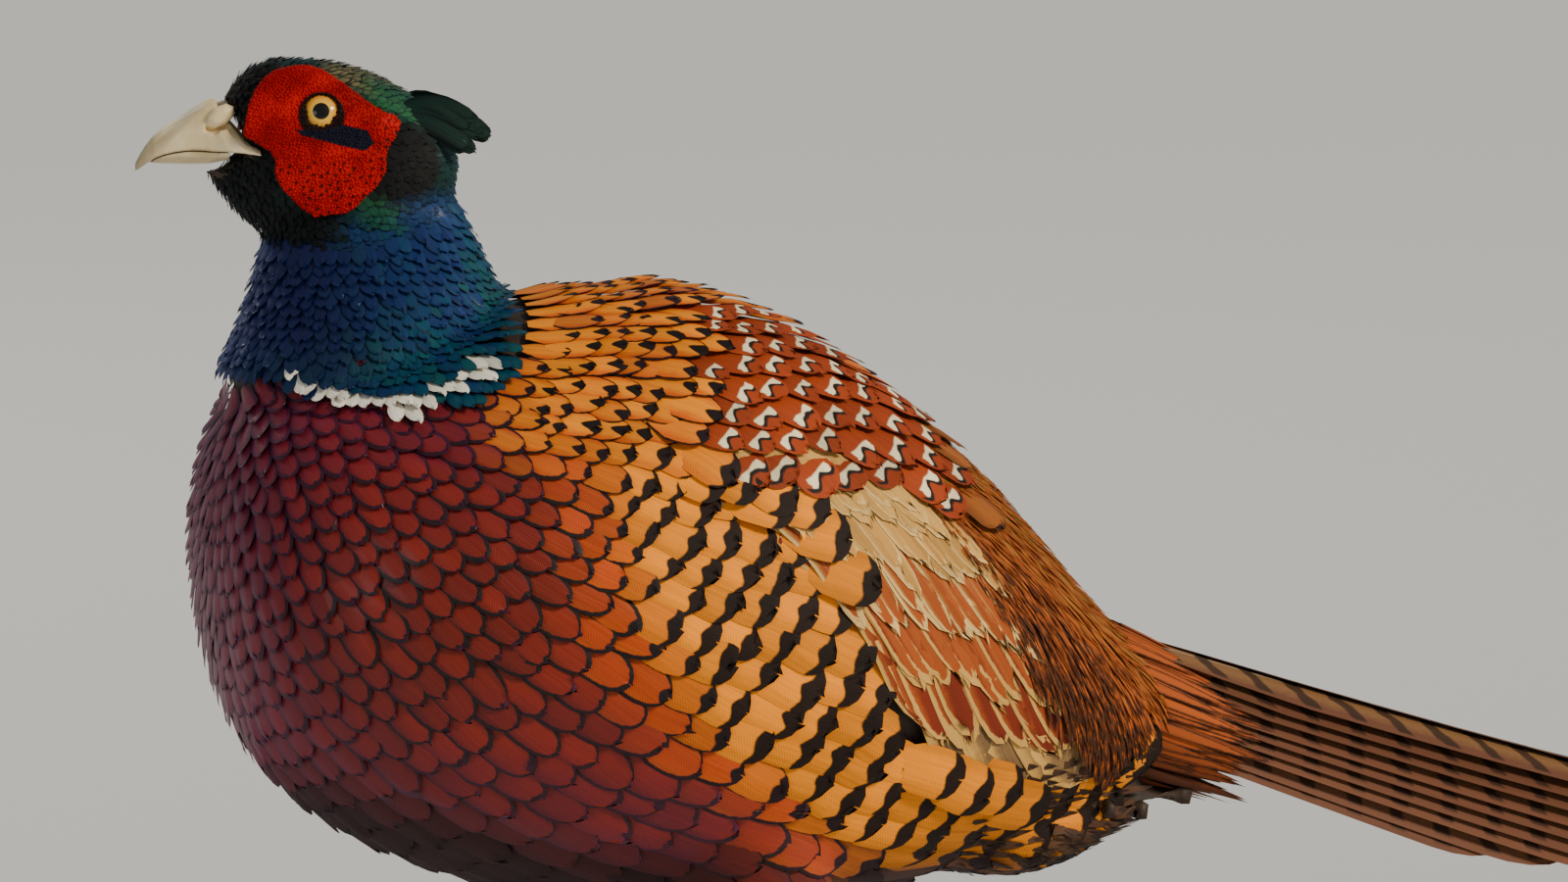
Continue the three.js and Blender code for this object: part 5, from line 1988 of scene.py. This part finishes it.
@dataclass
class Studio:
    """A pale floor, soft lights and the photo's camera."""

    azimuth: float = -18.0
    elevation: float = 6.0
    distance: float = 3.5
    scale: float = 3550.0  # pixels in a metre of the photo at the bird
    zero: tuple = (700.0, 1100.0)  # the photo's pixel at the origin of the bird's frame
    size: tuple = (1600.0, 900.0)
    sensor: float = 36.0
    floor_half: float = 14000.0
    floor_height: float = -0.4
    sun_angle: float = 14.0
    lamp_size: float = 0.8
    aim: tuple = (-0.05, 0, 0.18)
    sky: tuple = (0.86, 0.9, 0.9, 1)
    sky_strength: float = 0.32
    lights: tuple = (  # name, kind, place, power and colour
        ("key", "SUN", (1.5, -2.0, 1.7), 3.2, (1.0, 0.9, 0.74)),
        ("fill", "AREA", (-2.2, -1.8, 0.9), 7, (0.86, 0.92, 1.0)),
        ("rim", "AREA", (-0.6, 2.2, 1.5), 6, (1.0, 0.96, 0.9)),
    )

    def build(self) -> None:
        """Makes the floor, lights and camera."""
        self._floor()
        self._camera()
        for light in self.lights:
            self._light(*light)
        world = bpy.data.worlds.new("studio")
        world.use_nodes = True
        set_inputs(world.node_tree.nodes["Background"], Color=self.sky, Strength=self.sky_strength)
        bpy.context.scene.world = world

    def _floor(self) -> None:
        """Makes the floor."""
        made, _, shader = start_material("floor")
        set_inputs(shader, Base_Color=(0.78, 0.79, 0.8, 1), Roughness=0.8)
        corners = [(x, y, 0) for x, y in ((-1, -1), (1, -1), (1, 1), (-1, 1))]
        corners = np.array(corners) * self.floor_half + self.floor_height * UPWARD
        floor = make_object("floor", corners, [[0, 1, 2, 3]])
        floor.data.materials.append(made)

    def _camera(self) -> None:
        """Sets the camera where the photo's stood."""
        turn, lift = math.radians(self.azimuth), math.radians(self.elevation)
        back = Vector((math.sin(turn) * math.cos(lift), -math.cos(turn) * math.cos(lift), math.sin(lift)))
        right = Vector((math.cos(turn), math.sin(turn), 0))
        up = right.cross(-back).normalized()
        across = (self.size[0] / 2 - self.zero[0]) / self.scale
        above = (self.zero[1] - self.size[1] / 2) / self.scale
        target = Vector(SHIFT / 1000) + right * across + up * above
        camera = bpy.data.objects.new("camera", bpy.data.cameras.new("camera"))
        camera.location = target + back * self.distance
        camera.rotation_euler = (target - camera.location).to_track_quat("-Z", "Y").to_euler()
        camera.data.sensor_width = self.sensor
        camera.data.lens = self.sensor * self.distance * self.scale / self.size[0]
        camera.data.clip_end = 50
        bpy.context.scene.collection.objects.link(camera)
        bpy.context.scene.camera = camera

    def _light(self, name: str, kind: str, place: tuple, power: float, colour: tuple) -> None:
        """Adds a light that points at the bird.

        Args:
            name: its name.
            kind: SUN or AREA.
            place: its place, from the origin of the bird, in metres.
            power: its power.
            colour: its colour.
        """
        data = bpy.data.lights.new(name, kind)
        data.energy = power
        if kind == "SUN":
            data.angle = math.radians(self.sun_angle)
        else:
            data.size = self.lamp_size
        data.color = colour
        made = bpy.data.objects.new(name, data)
        made.location = Vector(SHIFT / 1000) + Vector(place)
        aim = Vector(SHIFT / 1000) + Vector(self.aim)
        made.rotation_euler = (aim - made.location).to_track_quat("-Z", "Y").to_euler()
        bpy.context.scene.collection.objects.link(made)


def dress(
    name: str, unwrap: Rule, tracts: tuple, material: Material, nodes: tuple[str, ...] = (),
) -> None:
    """Grows tracts of feathers as one piece.

    Args:
        name: the piece's name.
        unwrap: function from roots to UV places.
        tracts: the parts of the plumage that it holds.
        material: its material.
        nodes: CAD nodes that it replaces.
    """
    coat = Coat(name, unwrap)
    for tract in tracts:
        tract.build(coat)
    coat.piece(material, nodes)


def main() -> None:
    """Builds the dressed bird and its studio."""
    logging.basicConfig(level=logging.INFO, format="%(name)s: %(message)s")
    groups = Groups()
    body = Body()
    body.make_skin(SkinFinish("under_skin", srgb(46, 34, 28), srgb(66, 48, 36)).build(groups))
    LOG.info("skin done")

    neck, head, tail = Neck(body), Head(body), Tail()
    # the second colour of each vane finish is its painted sheen
    sheen = FeatherFinish("body_vane", srgb(120, 40, 90), roughness=0.42, metallic=0.15, coat=0.25,
                          streak=0.24, variation=0.45)
    shining = FeatherFinish("shining_vane", srgb(30, 52, 130), roughness=0.4, metallic=0.45, coat=0.25)
    green = replace(shining, name="green_vane", shimmer=srgb(20, 60, 70), metallic=0.35, roughness=0.55,
                    coat=0.1)
    green = green.build(groups)
    web = FeatherFinish("wing_vane", roughness=0.6, shaft=0.5, streak=0.2)
    strand = FeatherFinish("rump_strand", roughness=0.6)
    barred = FeatherFinish("tail_vane", roughness=0.55, bars=(srgb(46, 30, 22), 0.85), shaft=0.3)
    soft = FeatherFinish("vent_strand", roughness=0.8)
    dress("trunk_feathers", body.unwrap, (Plumage(body, neck),), sheen.build(groups))
    dress("neck_feathers", body.unwrap_upright, (neck,), shining.build(groups))
    dress("head_feathers", body.unwrap_upright, (head,), green)
    EarTuft().build(body, green)
    wings = ("wing_left", "wing_right")
    dress("wing_vanes", body.unwrap, (Wing(body),), web.build(groups), wings)
    rump = (Rump(body), TailCoverts(tail))
    dress("rump_strands", body.unwrap, rump, strand.build(groups), ("rump_plumes",))
    dress("tail_vanes", body.unwrap, (tail,), barred.build(groups), ("tail",))
    dress("vent_strands", body.unwrap, (Vent(body),), soft.build(groups))

    red = SkinFinish("bare_red", srgb(138, 0, 0), srgb(186, 3, 0), roughness=0.6, gloss=0.15,
                     subsurface=0.05, spotted=True)
    ivory = SkinFinish("ivory_horn", srgb(220, 196, 146), srgb(242, 224, 184), roughness=0.34, relief=0.12,
                       spotted=True)
    scale = SkinFinish("leg_scale", srgb(124, 112, 96), srgb(150, 138, 118), roughness=0.5, fine_scale=420.0,
                       relief=0.8)
    horn = SkinFinish("claw_horn", srgb(70, 58, 46), srgb(96, 80, 62), roughness=0.35)
    BareFace(head).build(red.build(groups), EyeFinish().build())
    Bill().build(ivory.build(groups))
    Legs().build(scale.build(groups), horn.build(groups))
    LOG.info("bare parts done")

    Studio().build()


if __name__ == "__main__":
    main()
